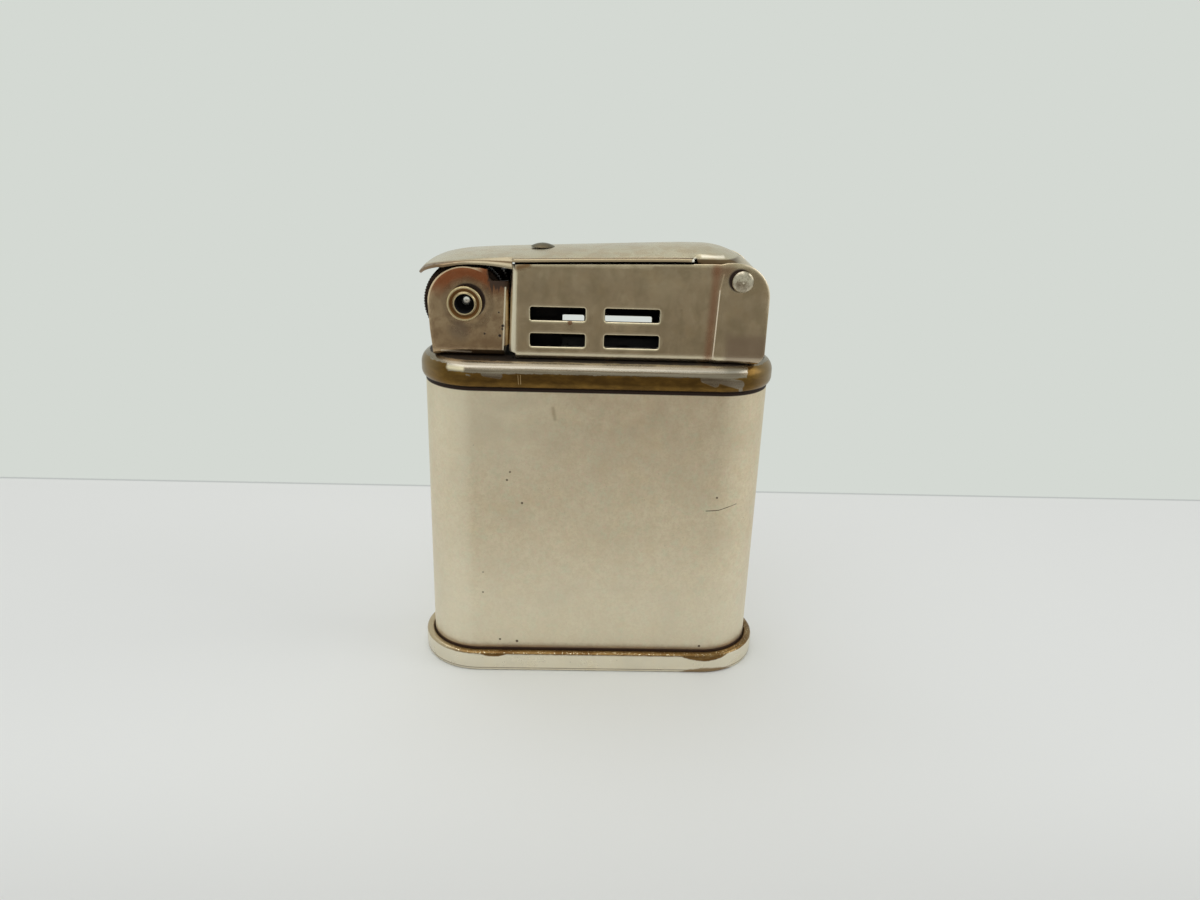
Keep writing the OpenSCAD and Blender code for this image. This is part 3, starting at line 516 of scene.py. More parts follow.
def make_axle():
    """The hollow rivet that the wheel turns on, its ends rolled outwards."""
    bore, tube, flange, reach = 1.14, 1.6, 2.1, axle_high[1]
    stud, inner = 0.58, reach - 2.1
    half = [(0.001, inner)]
    half += [(stud * math.sin(a), inner - 0.12 * (1 - math.cos(a))) for a in np.linspace(0.2, 1.57, 6)]
    half += [(stud + 0.02, inner - 0.3), (bore, inner - 0.3), (bore, reach - 0.1)]
    half += arc(bore + 0.1, reach - 0.1, 0.1, 180, 20, 8)
    half += [(bore + 0.3, reach - 0.16), (bore + 0.48, reach - 0.16)]
    half += arc(flange - 0.2, reach - 0.2, 0.2, 130, -30, 12)
    half += [(flange - 0.06, cheek_half + 0.02), (tube, cheek_half - 0.1)]
    return lathe("axle_rivet", both_ends(half), (wheel_x, 0, axle_z), 96)


def make_disc(node):
    """A thumb disc of the wheel, finely knurled."""
    low, high = cad_mm(node)
    middle, half = (low[1] + high[1]) / 2, (high[1] - low[1]) / 2
    r, bore, bevel, teeth, knurl = 4.9, 1.7, 0.2, 90, 0.1
    profile = [(bore, -half), (r - bevel, -half), (r, bevel - half)]
    profile += [(r, half - bevel), (r - bevel, half), (bore, half)]
    disc = lathe(node + "_knurled", profile, (wheel_x, middle, axle_z), teeth * 6)
    for vertex in disc.data.vertices:
        x, z = vertex.co.x / MM - wheel_x, vertex.co.z / MM - axle_z
        if math.hypot(x, z) > r - 0.3:
            shrink = 1 - knurl * (0.5 - 0.5 * math.cos(teeth * math.atan2(z, x))) / r
            vertex.co.x, vertex.co.z = (wheel_x + x * shrink) * MM, (axle_z + z * shrink) * MM
    return disc


def make_pin():
    shank, head, height, side = 0.8, 1.28, 0.7, 0.2
    seat = pin_high[1] - height
    half = [(shank, seat), (head - 0.06, seat), (head, seat + 0.07), (head, seat + side)]
    for a in np.linspace(0.1, 1.57, 12):
        half.append((head * math.cos(a), seat + side + (height - side) * math.sin(a)))
    return lathe("hinge_pin", both_ends(half), (pin_x, 0, pin_z), 72)


def make_wick():
    """The wick's end: twisted strands that stand a little proud of the tube, charred at the top."""
    top, low, r = wick_high[2] - 0.06, tube_low[2], 1.86
    strands, turns, around, rings = 11, 2.2, 132, 60
    points = []
    for i in range(rings + 1):
        z = low + (top - low) * i / rings
        crown = smooth_step(float((i - rings + 6) / 6)) * 0.5
        for k in range(around):
            a = 2 * math.pi * k / around
            ridge = abs(math.sin(strands / 2 * a + turns * math.pi * i / rings))
            here = (r - crown) * (0.9 + 0.1 * ridge)
            x, y = burner_x + here * math.cos(a), here * math.sin(a)
            points.append((x, y, z + 0.05 * ridge * (i == rings)))
    faces = ring_faces(rings + 1, around)[:-around]
    faces.append(tuple(range(around)))
    faces.append(tuple(range(rings * around, (rings + 1) * around))[::-1])
    return add_mesh("wick_strands", points, faces)


def tone(red, green, blue):
    """A colour given as 0-255 screen values, in the linear values that Blender works in."""
    def linear(c):
        c /= 255
        return c / 12.92 if c <= 0.04045 else ((c + 0.055) / 1.055) ** 2.4
    return (linear(red), linear(green), linear(blue), 1)


def dimmed(colour, *shares):
    """A linear colour times one share, or times one each for red, green and blue."""
    return tuple(c * share for c, share in zip(colour[:3], shares * 3)) + (1,)


class Graph:
    """A node tree, with short ways to add nodes and join them."""

    def __init__(self, tree):
        self.tree = tree

    def put(self, socket, value):
        value = value.socket if isinstance(value, Field) else value
        if isinstance(value, bpy.types.NodeSocket):
            self.tree.links.new(value, socket)
        else:
            socket.default_value = value

    def make(self, kind, settings, *values, **inputs):
        """A node of a kind; values go to its inputs in their order, and inputs by name."""
        node = self.tree.nodes.new(kind)
        for key, value in settings.items():
            setattr(node, key, value)
        for socket, value in zip(node.inputs, values):
            self.put(socket, value)
        for key, value in inputs.items():
            self.put(node.inputs[key], value)
        return node

    def math(self, operation, *values):
        return Field(self, self.make("ShaderNodeMath", {"operation": operation}, *values).outputs[0])

    def vector(self, operation, *values, **inputs):
        return self.make("ShaderNodeVectorMath", {"operation": operation}, *values, **inputs)

    def mix_shader(self, share, a, b):
        return self.make("ShaderNodeMixShader", {}, share, a.outputs[0], b.outputs[0]).outputs[0]


class Field:
    """A number that varies over a surface. & is where both hold, | where either does, ~ where it doesn't."""

    def __init__(self, graph, socket):
        self.graph, self.socket = graph, socket

    def __mul__(self, other):
        return self.graph.math("MULTIPLY", self, other)

    __and__ = __mul__

    def __or__(self, other):
        return self.graph.math("MAXIMUM", self, other)

    def __add__(self, other):
        return self.graph.math("ADD", self, other)

    def __sub__(self, other):
        return self.graph.math("SUBTRACT", self, other)

    def __invert__(self):
        return self.graph.math("SUBTRACT", 1.0, self)

    def step(self, low, high):
        """0 below low and 1 above high, smooth between; low may be the larger, and then it falls."""
        smooth = {"interpolation_type": "SMOOTHSTEP"}
        node = self.graph.make("ShaderNodeMapRange", smooth, self, *sorted((low, high)))
        out = Field(self.graph, node.outputs[0])
        return ~out if low > high else out

    def ragged(self, amount, scale, seed=0.0):
        """A length made uneven by noise, for worn boundaries."""
        return self + (self.graph.noise(scale, 5, 0.6, seed) - 0.5) * (2 * amount)


class Coat(Graph):
    """A material, painted in layers. Lengths are in millimetres, and a point of (x, z) is at every depth."""

    def __init__(self, name, colour, rough, metal=1.0):
        self.material = bpy.data.materials.new(name)
        self.material.use_nodes = True
        super().__init__(self.material.node_tree)
        self.shader = self.tree.nodes["Principled BSDF"]
        self.inputs = {"Base Color": tone(*colour), "Roughness": rough, "Metallic": metal}
        self.height = None
        place = self.make("ShaderNodeTexCoord", {}).outputs["Object"]
        self.place = self.vector("SCALE", place, Scale=1 / MM).outputs[0]
        split = self.make("ShaderNodeSeparateXYZ", {}, self.place)
        self.x, self.y, self.z = (Field(self, out) for out in split.outputs)

    def front(self):
        return self.y.step(0.5, -0.5)

    def noise(self, scale, detail, rough, seed=0.0, stretch=(1, 1, 1)):
        """Cloudy values from 0 to 1, about scale spots to a millimetre, squeezed along an axis by stretch."""
        shift = (seed, seed * 0.7, seed * 1.3)
        move = self.make("ShaderNodeMapping", {}, Vector=self.place, Scale=stretch, Location=shift).outputs[0]
        node = self.make("ShaderNodeTexNoise", {}, Vector=move, Scale=scale, Detail=detail, Roughness=rough)
        return Field(self, node.outputs[0])

    def clouds(self, low, high, *noise):
        """Spots of noise: none below low, full above high."""
        return self.noise(*noise).step(low, high)

    def where(self, point):
        """The surface's place and a point, both without a depth if the point has none."""
        if len(point) == 3:
            return self.place, point
        return self.vector("MULTIPLY", self.place, (1, 0, 1)).outputs[0], (point[0], 0, point[1])

    def distance(self, *point):
        return Field(self, self.vector("DISTANCE", *self.where(point)).outputs["Value"])

    def spot(self, point, r, soft=0.1, uneven=0.0, scale=1.5, seed=0.0):
        reach = self.distance(*point)
        if uneven:
            reach = reach.ragged(uneven, scale, seed)
        return reach.step(r + soft, r - soft)

    def line(self, start, end, width, soft=0.03):
        """A scratch from start to end."""
        along = np.array(end, float) - start
        length = float(np.linalg.norm(along))
        along = tuple(along / length)
        along = along if len(along) == 3 else (along[0], 0, along[1])
        offset = self.vector("SUBTRACT", *self.where(start)).outputs[0]
        reach = self.vector("DOT_PRODUCT", offset, along).outputs["Value"]
        reach = self.math("MINIMUM", self.math("MAXIMUM", reach, 0.0), length)
        nearest = self.vector("SCALE", along, Scale=reach).outputs[0]
        gap = Field(self, self.vector("DISTANCE", offset, nearest).outputs["Value"])
        return gap.step(width / 2 + soft, max(width / 2 - soft, 0.0))

    def blend(self, share, a, b):
        """From a to b, as numbers, or as colours where b is one."""
        kind, first, out = ("RGBA", 6, 2) if isinstance(b, tuple) else ("FLOAT", 2, 0)
        node = self.make("ShaderNodeMix", {"data_type": kind}, share)
        self.put(node.inputs[first], a)
        self.put(node.inputs[first + 1], b)
        return node.outputs[out]

    def paint(self, mask, colour, rough=None, metal=None):
        """Lays one more layer where mask is 1. The colour has three screen values or four linear ones."""
        colour = tone(*colour) if len(colour) == 3 else colour
        for name, layer in (("Base Color", colour), ("Roughness", rough), ("Metallic", metal)):
            if layer is not None:
                self.inputs[name] = self.blend(mask, self.inputs[name], layer)

    def emboss(self, mask, amount):
        """Relief in millimetres where mask is 1."""
        part = mask * amount
        self.height = part if self.height is None else self.height + part

    def grain(self, amount, *noise):
        self.emboss(self.noise(*noise), amount)

    def done(self):
        for name, value in self.inputs.items():
            self.put(self.shader.inputs[name], value)
        if self.height is not None:
            bump = self.make("ShaderNodeBump", {}, Height=self.height, Distance=MM, Strength=1.0)
            self.put(self.shader.inputs["Normal"], bump.outputs[0])
        return self.material


SOOT = (28, 22, 19)


def nickel(name, colour, rough, seed, cloud):
    """Old nickel plate: cloudy tone, fine grain and small dark specks."""
    coat = Coat(name, colour, rough)
    plain = coat.inputs["Base Color"]
    coat.paint(coat.clouds(0.35, 0.75, 0.16, 4, 0.6, seed), dimmed(plain, 1 - 2.2 * cloud))
    coat.paint(coat.clouds(0.45, 0.8, 0.35, 5, 0.65, seed + 7) * 0.5, dimmed(plain, 0.98, 0.92, 0.8))
    coat.paint(coat.clouds(0.3, 0.8, 14, 3, 0.7, seed + 3) * 0.12, dimmed(plain, 0.75))
    coat.paint(coat.clouds(0.73, 0.79, 3.1, 2, 0.5, seed + 11) * 0.45, (96, 84, 66))
    patches = coat.clouds(0.35, 0.75, 0.5, 4, 0.6, seed + 5)
    coat.inputs["Roughness"] = coat.blend(patches, rough - 0.03, rough + 0.06)
    return coat


def body_coat():
    """Satin, with the marks that the photograph shows on its front."""
    coat = nickel("satin_nickel_body", (231, 218, 190), 0.42, 1.0, 0.06)
    paint = coat.paint
    paint(coat.clouds(0.42, 0.62, 0.9, 5, 0.7, 41) * 0.42, (218, 198, 168))
    paint(coat.clouds(0.5, 0.68, 0.7, 5, 0.7, 47) * 0.42, (212, 214, 186))
    paint(coat.clouds(0.44, 0.6, 2.6, 6, 0.8, 44) * 0.42, (206, 190, 158))
    paint(coat.clouds(0.5, 0.66, 1.7, 5, 0.75, 49) * 0.34, (230, 200, 180))
    # A lighter band towards the left end: a painted reflection.
    paint(coat.x.step(-15.2, -16.4) * 0.22, (238, 230, 208))
    paint(coat.spot((-13, 36), 6, 7, 1.0, 0.3, 3) * 0.5, (244, 234, 208))
    # Lighter towards the bottom: a painted reflection of the pale floor.
    paint(coat.z.step(24, 5) * 0.4, (238, 232, 212))
    paint(coat.spot((9, 39), 9, 8, 1.0, 0.3, 5) * 0.18, (196, 168, 138))
    # Pits: x, z, radius
    for x, z, r in (
        (-10.62, 28.1, 0.12), (-10.99, 27.02, 0.13), (-9.13, 23.94, 0.14), (15.35, 25.13, 0.13),
        (-14.16, 14.11, 0.08), (-14.2, 11.18, 0.1), (-12.05, 4.13, 0.13), (-9.8, 3.86, 0.16),
        (14.55, 3.47, 0.15),
    ):
        pit = coat.spot((x, -body_r, z), r, 0.07, 0.06, 5)
        paint(pit, (78, 60, 38), 0.6, 0.5)
        coat.emboss(pit, -0.02)
    front = coat.front()
    scratch = coat.line((14.1, 23.3), (15.7, 23.42), 0.09, 0.05)
    scratch |= coat.line((15.7, 23.42), (17.0, 23.78), 0.07, 0.05)
    scratch |= coat.line((17.0, 23.78), (18.0, 24.02), 0.03, 0.05)
    paint(scratch & front, (58, 44, 26), 0.6, 0.6)
    coat.emboss(scratch & front, -0.02)
    paint(coat.line((-5.4, 36.5), (-5.15, 35.1), 0.14, 0.3) & front * 0.45, (160, 140, 108))
    up = coat.z - tray_high[2]
    # Painted shade in the joints under the collar and above the tray.
    crevice_shade = coat.z.step(collar_low[2] - 0.42, collar_low[2] - 0.3) | up.step(0.3, 0.12)
    paint(crevice_shade, (44, 28, 18), 0.6, 0.6)
    paint(up.ragged(0.5, 1.2, 6).step(1.1, 0.2) * 0.35, (160, 130, 110))
    coat.grain(0.002, 9, 4, 0.6, 2)
    coat.grain(0.0012, 40, 2, 0.6, 4, (1, 1, 0.3))
    coat.grain(0.05, 0.12, 2, 0.5, 6)
    return coat.done()


def collar_coat():
    """Worn to brass on its lower half and both ends, the nickel left ragged above."""
    coat = nickel("bright_nickel_collar", (148, 137, 120), 0.26, 3.0, 0.09)
    paint = coat.paint
    up, front = coat.z - deck_z, -collar_r
    # Painted highlight lines across the shoulder's nickel band.
    highlight_streaks = coat.clouds(0.49, 0.62, 1.0, 5, 0.65, 21, (0.1, 0.1, 4.5))
    paint(up.step(-1.1, -0.85) & up.step(-0.25, -0.45) & highlight_streaks * 0.45, (174, 164, 148), 0.26)
    # Darker lines below the highlight, part of the painted reflection on the shoulder.
    darker_band = coat.clouds(0.46, 0.58, 0.7, 5, 0.7, 24, (0.07, 0.07, 5.0)) & up.step(-0.72, -0.84)
    paint(darker_band * 0.7, (104, 88, 68), 0.28)
    # A thin painted highlight along the shoulder.
    painted_highlight = up.ragged(0.08, 0.4, 14).step(-0.82, -0.72) & up.ragged(0.08, 0.4, 15).step(-0.5, -0.6)
    paint(painted_highlight * 0.25, (226, 220, 210), 0.24)
    edge = up.ragged(0.3, 0.5, 3).ragged(0.12, 3.0, 5)
    left = coat.x.ragged(0.7, 0.9, 8).step(-half_run - 3.2, -half_run - 3.3) & edge.step(-0.5, -0.6)
    right = coat.x.ragged(0.5, 0.9, 9).step(half_run + 3.1, half_run + 3.2) & edge.step(-0.3, -0.4)
    drips = coat.line((12.6, front, 40.7), (14.0, front, 40.2), 0.9, 0.08)
    drips |= coat.line((14.0, front, 40.9), (17.0, front + 0.4, 40.0), 1.1, 0.08)
    drips |= coat.line((16.8, front + 0.4, 40.4), (17.2, front + 0.5, 39.2), 0.5, 0.06)
    drips |= coat.line((-13.6, front, 40.8), (-11.8, front, 40.55), 0.75, 0.08)
    drips |= coat.line((-15.7, front, 40.6), (-15.3, front, 40.5), 0.22, 0.04)
    worn = (edge.step(-1.3, -1.42) | left | right) & ~drips
    paint(worn, (96, 72, 36), 0.3)
    paint(worn & coat.clouds(0.35, 0.75, 0.8, 5, 0.65, 9, (0.6, 0.6, 1.6)) * 0.7, (138, 106, 52), 0.28)
    ends = coat.math("ABSOLUTE", coat.x).step(half_run + 3.4, half_run + 6.2)
    paint(worn & ends * 0.6, (150, 128, 92), 0.3)
    scratches = coat.line((-9.6, front, 40.7), (-9.5, front, 39.3), 0.05)
    scratches |= coat.line((-9.3, front, 40.7), (-9.25, front, 39.5), 0.05)
    paint(scratches, (220, 190, 140), 0.3)
    # Painted shade under the collar's curl.
    paint(coat.z.step(collar_low[2] + 0.32, collar_low[2] + 0.2), (40, 28, 20), 0.6)
    # The deck's top darker by the walls: painted shade under the windguard and cheeks, with dark spots of
    # dirt.
    deck = up.ragged(0.06, 1.0, 12).step(-0.16, -0.06)
    paint(deck, (74, 57, 40), 0.45, 0.7)
    paint(deck & coat.clouds(0.25, 0.5, 0.6, 4, 0.6, 5) * 0.85, (28, 20, 15), 0.7, 0.3)
    glint = coat.line((-17.9, deck_z - 0.95), (-16.2, deck_z - 0.98), 0.24, 0.3) & coat.front()
    paint(glint * 0.8, (255, 242, 206), 0.45, 0.6)
    coat.grain(0.004, 6, 4, 0.6, 6)
    coat.emboss(worn, -0.01)
    return coat.done()


def tray_coat():
    """Silver outside, its rim worn brown with bright grains, and brown again at the foot's right end."""
    coat = nickel("bright_nickel_tray", (236, 228, 208), 0.3, 5.0, 0.05)
    paint = coat.paint
    high = tray_high[2]
    rim = (coat.z - high).ragged(0.1, 1.2, 5).step(-0.32, -0.2)
    bulge = coat.spot((15.3, high + 7.1), 8.0, 0.1, 0.16, 1.2, 3)
    bulge |= coat.spot((-12.9, high + 3.4), 4.0, 0.1, 0.12, 1.2, 4)
    brown = rim | bulge & coat.front()
    paint(brown, (134, 106, 66), 0.32)
    paint(brown & coat.clouds(0.4, 0.65, 0.8, 4, 0.6, 8, (0.5, 0.5, 1)) * 0.8, (104, 74, 40), 0.36)
    paint(rim & coat.x.step(-half_run - 1.5, -half_run - 5.5) * 0.75, (206, 188, 156), 0.3)
    paint(rim & coat.clouds(0.58, 0.66, 5, 3, 0.7, 12), (236, 222, 190), 0.22)
    # A thin dark line low on the side: painted contact shade.
    paint(coat.z.step(0.34, 0.38) & coat.z.step(0.5, 0.46) * 0.7, (110, 84, 62), 0.4)
    patch = coat.spot((15.6, -9.2), 9.95, 0.12, 0.2, 1.2, 6) & coat.front()
    paint(patch * 0.85, (140, 112, 74), 0.35)
    coat.grain(0.003, 7, 4, 0.6, 8)
    return coat.done()


def guard_coat():
    """Painted highlights along its folds and edges, the crease's line partly rubbed bright too; a
    reddish-brown band by the ear's step; and a painted shadow round the pin.
    """
    coat = nickel("bright_nickel_windguard", (208, 192, 162), 0.2, 9.0, 0.1)
    paint = coat.paint
    front, up, left = coat.front(), coat.z - deck_z, guard_low[0]
    paint(coat.clouds(0.4, 0.65, 0.5, 5, 0.6, 31, (1, 1, 0.6)) * 0.5, (164, 150, 120), 0.24)
    # Lighter along the bottom bend: a painted highlight.
    paint(up.ragged(0.15, 0.5, 7).step(1.25, 0.75) * 0.75, (242, 230, 200), 0.28)
    paint(coat.spot((7.2, deck_z + 8.6), 1.4, 1.4, 0.8, 0.5, 2) * 0.4, (222, 208, 176), 0.24)
    # Pale painted highlights on the pressed-in edges round the slots.
    for x in slot_xs:
        for z in slot_zs:
            slot_highlight = coat.line((x - 2.6, z + 0.04), (x + 2.6, z + 0.04), 2.1, 0.22)
            paint(slot_highlight * 0.5, (228, 216, 186), 0.26)
    # A painted highlight down the rounded left edge.
    paint(coat.x.step(left + 0.95, left + 0.55) * 0.8, (246, 236, 210), 0.3)
    band = coat.line((ear_x - 0.85, deck_z + 0.9), (ear_x - 0.5, guard_top - 0.3), 0.9, 0.42)
    paint(band & front * 0.6, (156, 100, 70), 0.3)
    heat = coat.line((ear_x - 0.5, guard_top - 0.5), (ear_x + 0.7, guard_top - 0.4), 1.3, 0.7)
    paint(heat & front * 0.45, (150, 104, 78), 0.3)
    # The crease's bright line: a rubbed edge and a painted highlight.
    fold = (ear_x - 0.03, guard_top - 2.7)
    paint(coat.line((ear_x - 0.3, deck_z + 0.7), fold, 0.07, 0.07) & front, (255, 240, 214), 0.55, 0.3)
    upper = coat.line(fold, (ear_x + 0.3, guard_top - 0.8), 0.08, 0.07)
    paint(upper & front * 0.4, (230, 206, 170), 0.5, 0.5)
    # A painted highlight along the ear's rounded right edge.
    turn_x, turn_z = guard_high[0] - ear_r, ear_top - ear_r
    rim = coat.distance(turn_x, turn_z).step(ear_r - 0.24, ear_r - 0.12)
    rim &= coat.x.step(turn_x + 0.3, turn_x + 1.2) & coat.z.step(turn_z - 2.0, turn_z + 0.5)
    paint(rim * 0.8, (250, 232, 206), 0.35)
    stain = coat.line((left + 0.9, guard_top - 0.7), (left + 2.1, guard_top - 0.4), 0.65, 0.3)
    paint(stain & front * 0.8, (124, 86, 46), 0.35)
    drop = coat.spot((burner_x + 3.45, -guard_half, deck_z + 4.6), 0.3, 0.12, 0.1, 2)
    paint(drop * 0.8, (120, 78, 50), 0.4)
    # A painted shadow round the pin's head.
    shade = coat.spot((pin_x - 0.3, -guard_half - ear_step, pin_z + 0.12), 1.38, 0.16)
    paint(shade, (50, 34, 26), 0.5, 0.6)
    # The ear darker towards the deck.
    darker_band = up.ragged(1.2, 0.5, 4).step(4.5, 2.5) & coat.x.step(ear_x + 0.6, ear_x + 1.6)
    paint(darker_band * 0.6, (150, 128, 112), 0.26)
    coat.grain(0.003, 5, 4, 0.6, 12)
    coat.grain(0.012, 0.7, 3, 0.5, 14)
    return coat.done()


def bracket_coat():
    """Browned by the sparks' heat round the top, with soot below the notch."""
    coat = nickel("bright_nickel_bracket", (206, 184, 150), 0.2, 13.0, 0.1)
    paint = coat.paint
    x, up, front, right = coat.x, coat.z - axle_z, -cheek_half, bracket_high[0]
    paint(coat.z.step(axle_z - 1.5, deck_z + 0.5) * 0.6, (168, 140, 106))
    paint(coat.clouds(0.42, 0.62, 0.8, 6, 0.7, 33) * 0.6, (150, 122, 94), 0.26)
    reach = coat.distance(wheel_x + 0.4, axle_z).ragged(0.5, 0.6, 6)
    paint(reach.step(2.2, 3.4) & up.step(0.2, 2.6) * 0.85, (160, 88, 50), 0.26)
    # A painted highlight along the cheek's rounded arc edge.
    rim = coat.distance(wheel_x, axle_z).step(4.14, 4.2) & up.step(-0.8, 0.2)
    paint(rim & x.step(wheel_x + 2.4, wheel_x + 1.0) * 0.8, (250, 226, 190), 0.3)
    paint(reach.step(2.2, 2.5) & reach.step(3.3, 2.9) * 0.35, (84, 58, 40), 0.35)
    # A painted shadow round the axle's rolled ring.
    paint(coat.spot((wheel_x + 0.36, front, axle_z + 0.28), 2.12, 0.14), (44, 28, 20), 0.5, 0.6)
    grey = coat.spot((wheel_x - 0.7, front, axle_z - 3.3), 1.1, 0.9, 0.5, 0.8, 3)
    paint(grey * 0.5, (104, 92, 86), 0.34)
    runs = coat.noise(1.0, 3, 0.5, 17, (3.4, 1, 0.2)) - 0.5
    height = coat.z - notch_z + runs * 3.2
    soot = x.ragged(0.9, 1.3, 24).step(right - 2.75, right - 2.15) & height.step(-1.25, -0.75)
    paint(soot, SOOT, 0.6, 0.3)
    paint(x.step(right - 3.0, right - 2.2) & height.step(-2.6, -0.9) * 0.45, (96, 66, 42), 0.4)
    # A painted highlight along the bend at the right.
    edge = coat.line((right - 0.78, deck_z + 0.9), (right - 0.45, notch_z - 0.8), 0.12, 0.1)
    paint(edge, (255, 246, 220), 0.4, 0.6)
    # A painted highlight along the bottom bend.
    foot = coat.line((-18.9, deck_z + 0.62), (-15.4, deck_z + 0.5), 0.12, 0.12)
    paint(foot * 0.8, (250, 234, 208), 0.4, 0.6)
    # Pits: x, z, radius
    for pit_x, pit_z, r in (
        (-11.9, 44.8, 0.2), (-11.55, 46.0, 0.17), (-11.6, 45.6, 0.14), (-12.0, 47.6, 0.12),
        (-13.7, 45.0, 0.13),
    ):
        paint(coat.spot((pit_x, front, pit_z), r, 0.08, 0.12, 4), (40, 26, 18), 0.6, 0.4)
    coat.grain(0.003, 5, 4, 0.6, 14)
    coat.grain(0.012, 0.8, 3, 0.5, 15)
    return coat.done()


def lid_coat():
    """Its rolled rim shows as a bright line with a dark one inside it."""
    coat = nickel("bright_nickel_lid", (210, 198, 172), 0.26, 17.0, 0.06)
    paint = coat.paint
    x, up = coat.x, coat.z - guard_top
    left = coat.math("MINIMUM", x - wheel_x, 0.0)
    out = coat.math("SQRT", left * left + coat.y * coat.y)
    edge = coat.math("SUBTRACT", lid_half, out)
    straight = x.step(neck_x, neck_x - 0.3)
    paint(coat.clouds(0.42, 0.62, 0.6, 4, 0.6, 52) * 0.4, (188, 160, 126))
    # A painted shade line in the crease inside the rim, over a real groove.
    crease = edge.step(0.1, 0.16) & edge.step(0.4, 0.3) & straight
    paint(crease, (84, 62, 42), 0.35)
    paint(edge.step(0.14, 0.08) & straight, (186, 168, 138), 0.45)
    curl = edge.step(0.95, 0.7) & x.step(guard_low[0] + 0.3, guard_low[0] + 0.2)
    paint(curl, (178, 164, 138), 0.5)
    # A painted shade line along the fold of the curl.
    paint(curl & edge.step(0.2, 0.28) & edge.step(0.46, 0.38) * 0.8, (92, 68, 42), 0.5)
    # A painted glint at the corner where the neck begins.
    paint(coat.spot((pin_x - 5.7, guard_top + 0.55), 0.34), (255, 252, 236), 0.5, 0.4)
    brown = x.step(wheel_x + 2, wheel_x - 3) & edge.ragged(0.1, 1.5, 5).step(0.65, 0.35)
    paint(brown * 0.7, (118, 84, 54), 0.3)
    # Painted shade on the neck's side where it turns down.
    neck = ~straight & up.step(0.82, 0.66) & x.step(pin_x + 0.6, pin_x - 1.0)
    paint(neck * 0.9, (92, 68, 40), 0.35)
    # A painted highlight along the neck's fold.
    painted_highlight = coat.line((pin_x - 4.75, guard_top + 1.04), (pin_x - 2.2, guard_top + 0.98), 0.2, 0.12)
    paint(painted_highlight * 0.85, (255, 246, 226), 0.5, 0.5)
    coat.grain(0.003, 5, 4, 0.6, 18)
    coat.emboss(crease, -0.03)
    return coat.done()


def cloudy(name, colour, rough, metal, clouds, other, relief, grain):
    """One colour with another over it in clouds, and a fine grain."""
    coat = Coat(name, colour, rough, metal)
    coat.paint(coat.clouds(*clouds), other)
    coat.grain(relief, grain, 3, 0.6)
    return coat


def soot_and_shade(name):
    """Metal blackened by the flame; the black also stands in for the shade inside the lighter."""
    coat = cloudy(name, (16, 12, 11), 0.9, 0.0, (0.45, 0.75, 0.7, 4, 0.6), (30, 23, 19), 0.01, 9)
    coat.inputs["Specular IOR Level"] = 0.2
    return coat.done()


def small_nickel():
    coat = nickel("bright_nickel_small", (196, 186, 166), 0.24, 21.0, 0.1)
    coat.paint(coat.clouds(0.45, 0.6, 2.2, 4, 0.6, 22) * 0.5, (120, 108, 88), 0.3)
    coat.grain(0.03, 2.5, 3, 0.5, 23)
    return coat.done()


def axle_coat():
    """The rolled rings have worn to brass; the tube's inside is painted black as shade, and the inner stud's
    end near white as a painted highlight.
    """
    coat = nickel("worn_brass_axle", (208, 190, 150), 0.2, 23.0, 0.1)
    reach = coat.distance(wheel_x, axle_z)
    coat.paint(reach.step(1.36, 1.44) & reach.step(1.86, 1.78), (104, 72, 40), 0.35)
    # The bore painted black: painted shade inside the tube.
    coat.paint(reach.step(1.2, 1.17) & reach.step(0.54, 0.58), (14, 10, 9), 0.9, 0.0)
    # The inner stud's end painted near white: a painted highlight.
    coat.paint(reach.step(0.58, 0.54), (250, 248, 240), 0.25)
    return coat.done()


def steel_coat(name, colour, rough, stain=0.4):
    coat = Coat(name, colour, rough)
    coat.paint(coat.clouds(0.4, 0.7, 0.9, 5, 0.65, 4) * stain, (78, 58, 44), rough + 0.15)
    coat.grain(0.004, 8, 3, 0.6)
    return coat.done()


def cotton_coat(name, colour, char_z=None):
    coat = Coat(name, colour, 0.95, 0.0)
    coat.paint(coat.clouds(0.35, 0.7, 2.5, 4, 0.6, 1), dimmed(tone(*colour), 0.7))
    if char_z is not None:
        coat.paint(coat.z.ragged(0.4, 2.0).step(char_z - 0.6, char_z), SOOT)
    coat.grain(0.03, 12, 3, 0.7, 3)
    return coat.done()


def dress(piece, body, slot, node, *materials):
    """Finishes a modelled piece: its materials, the body it moves with and the node it stands for."""
    for material in materials:
        piece.data.materials.append(material)
    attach(piece, body)
    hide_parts(node)


def coat_nodes(material, edge, *names):
    """Gives CAD nodes their material, and softer edges."""
    for name in names:
        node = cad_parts[name]
        for slot in node.material_slots:
            slot.material = material
        if not node.material_slots:
            node.data.materials.append(material)
        if edge:
            bevel = node.modifiers.new("soft_edges", "BEVEL")
            bevel.width, bevel.segments = edge * MM, 2
            bevel.limit_method, bevel.angle_limit = "ANGLE", math.radians(40)


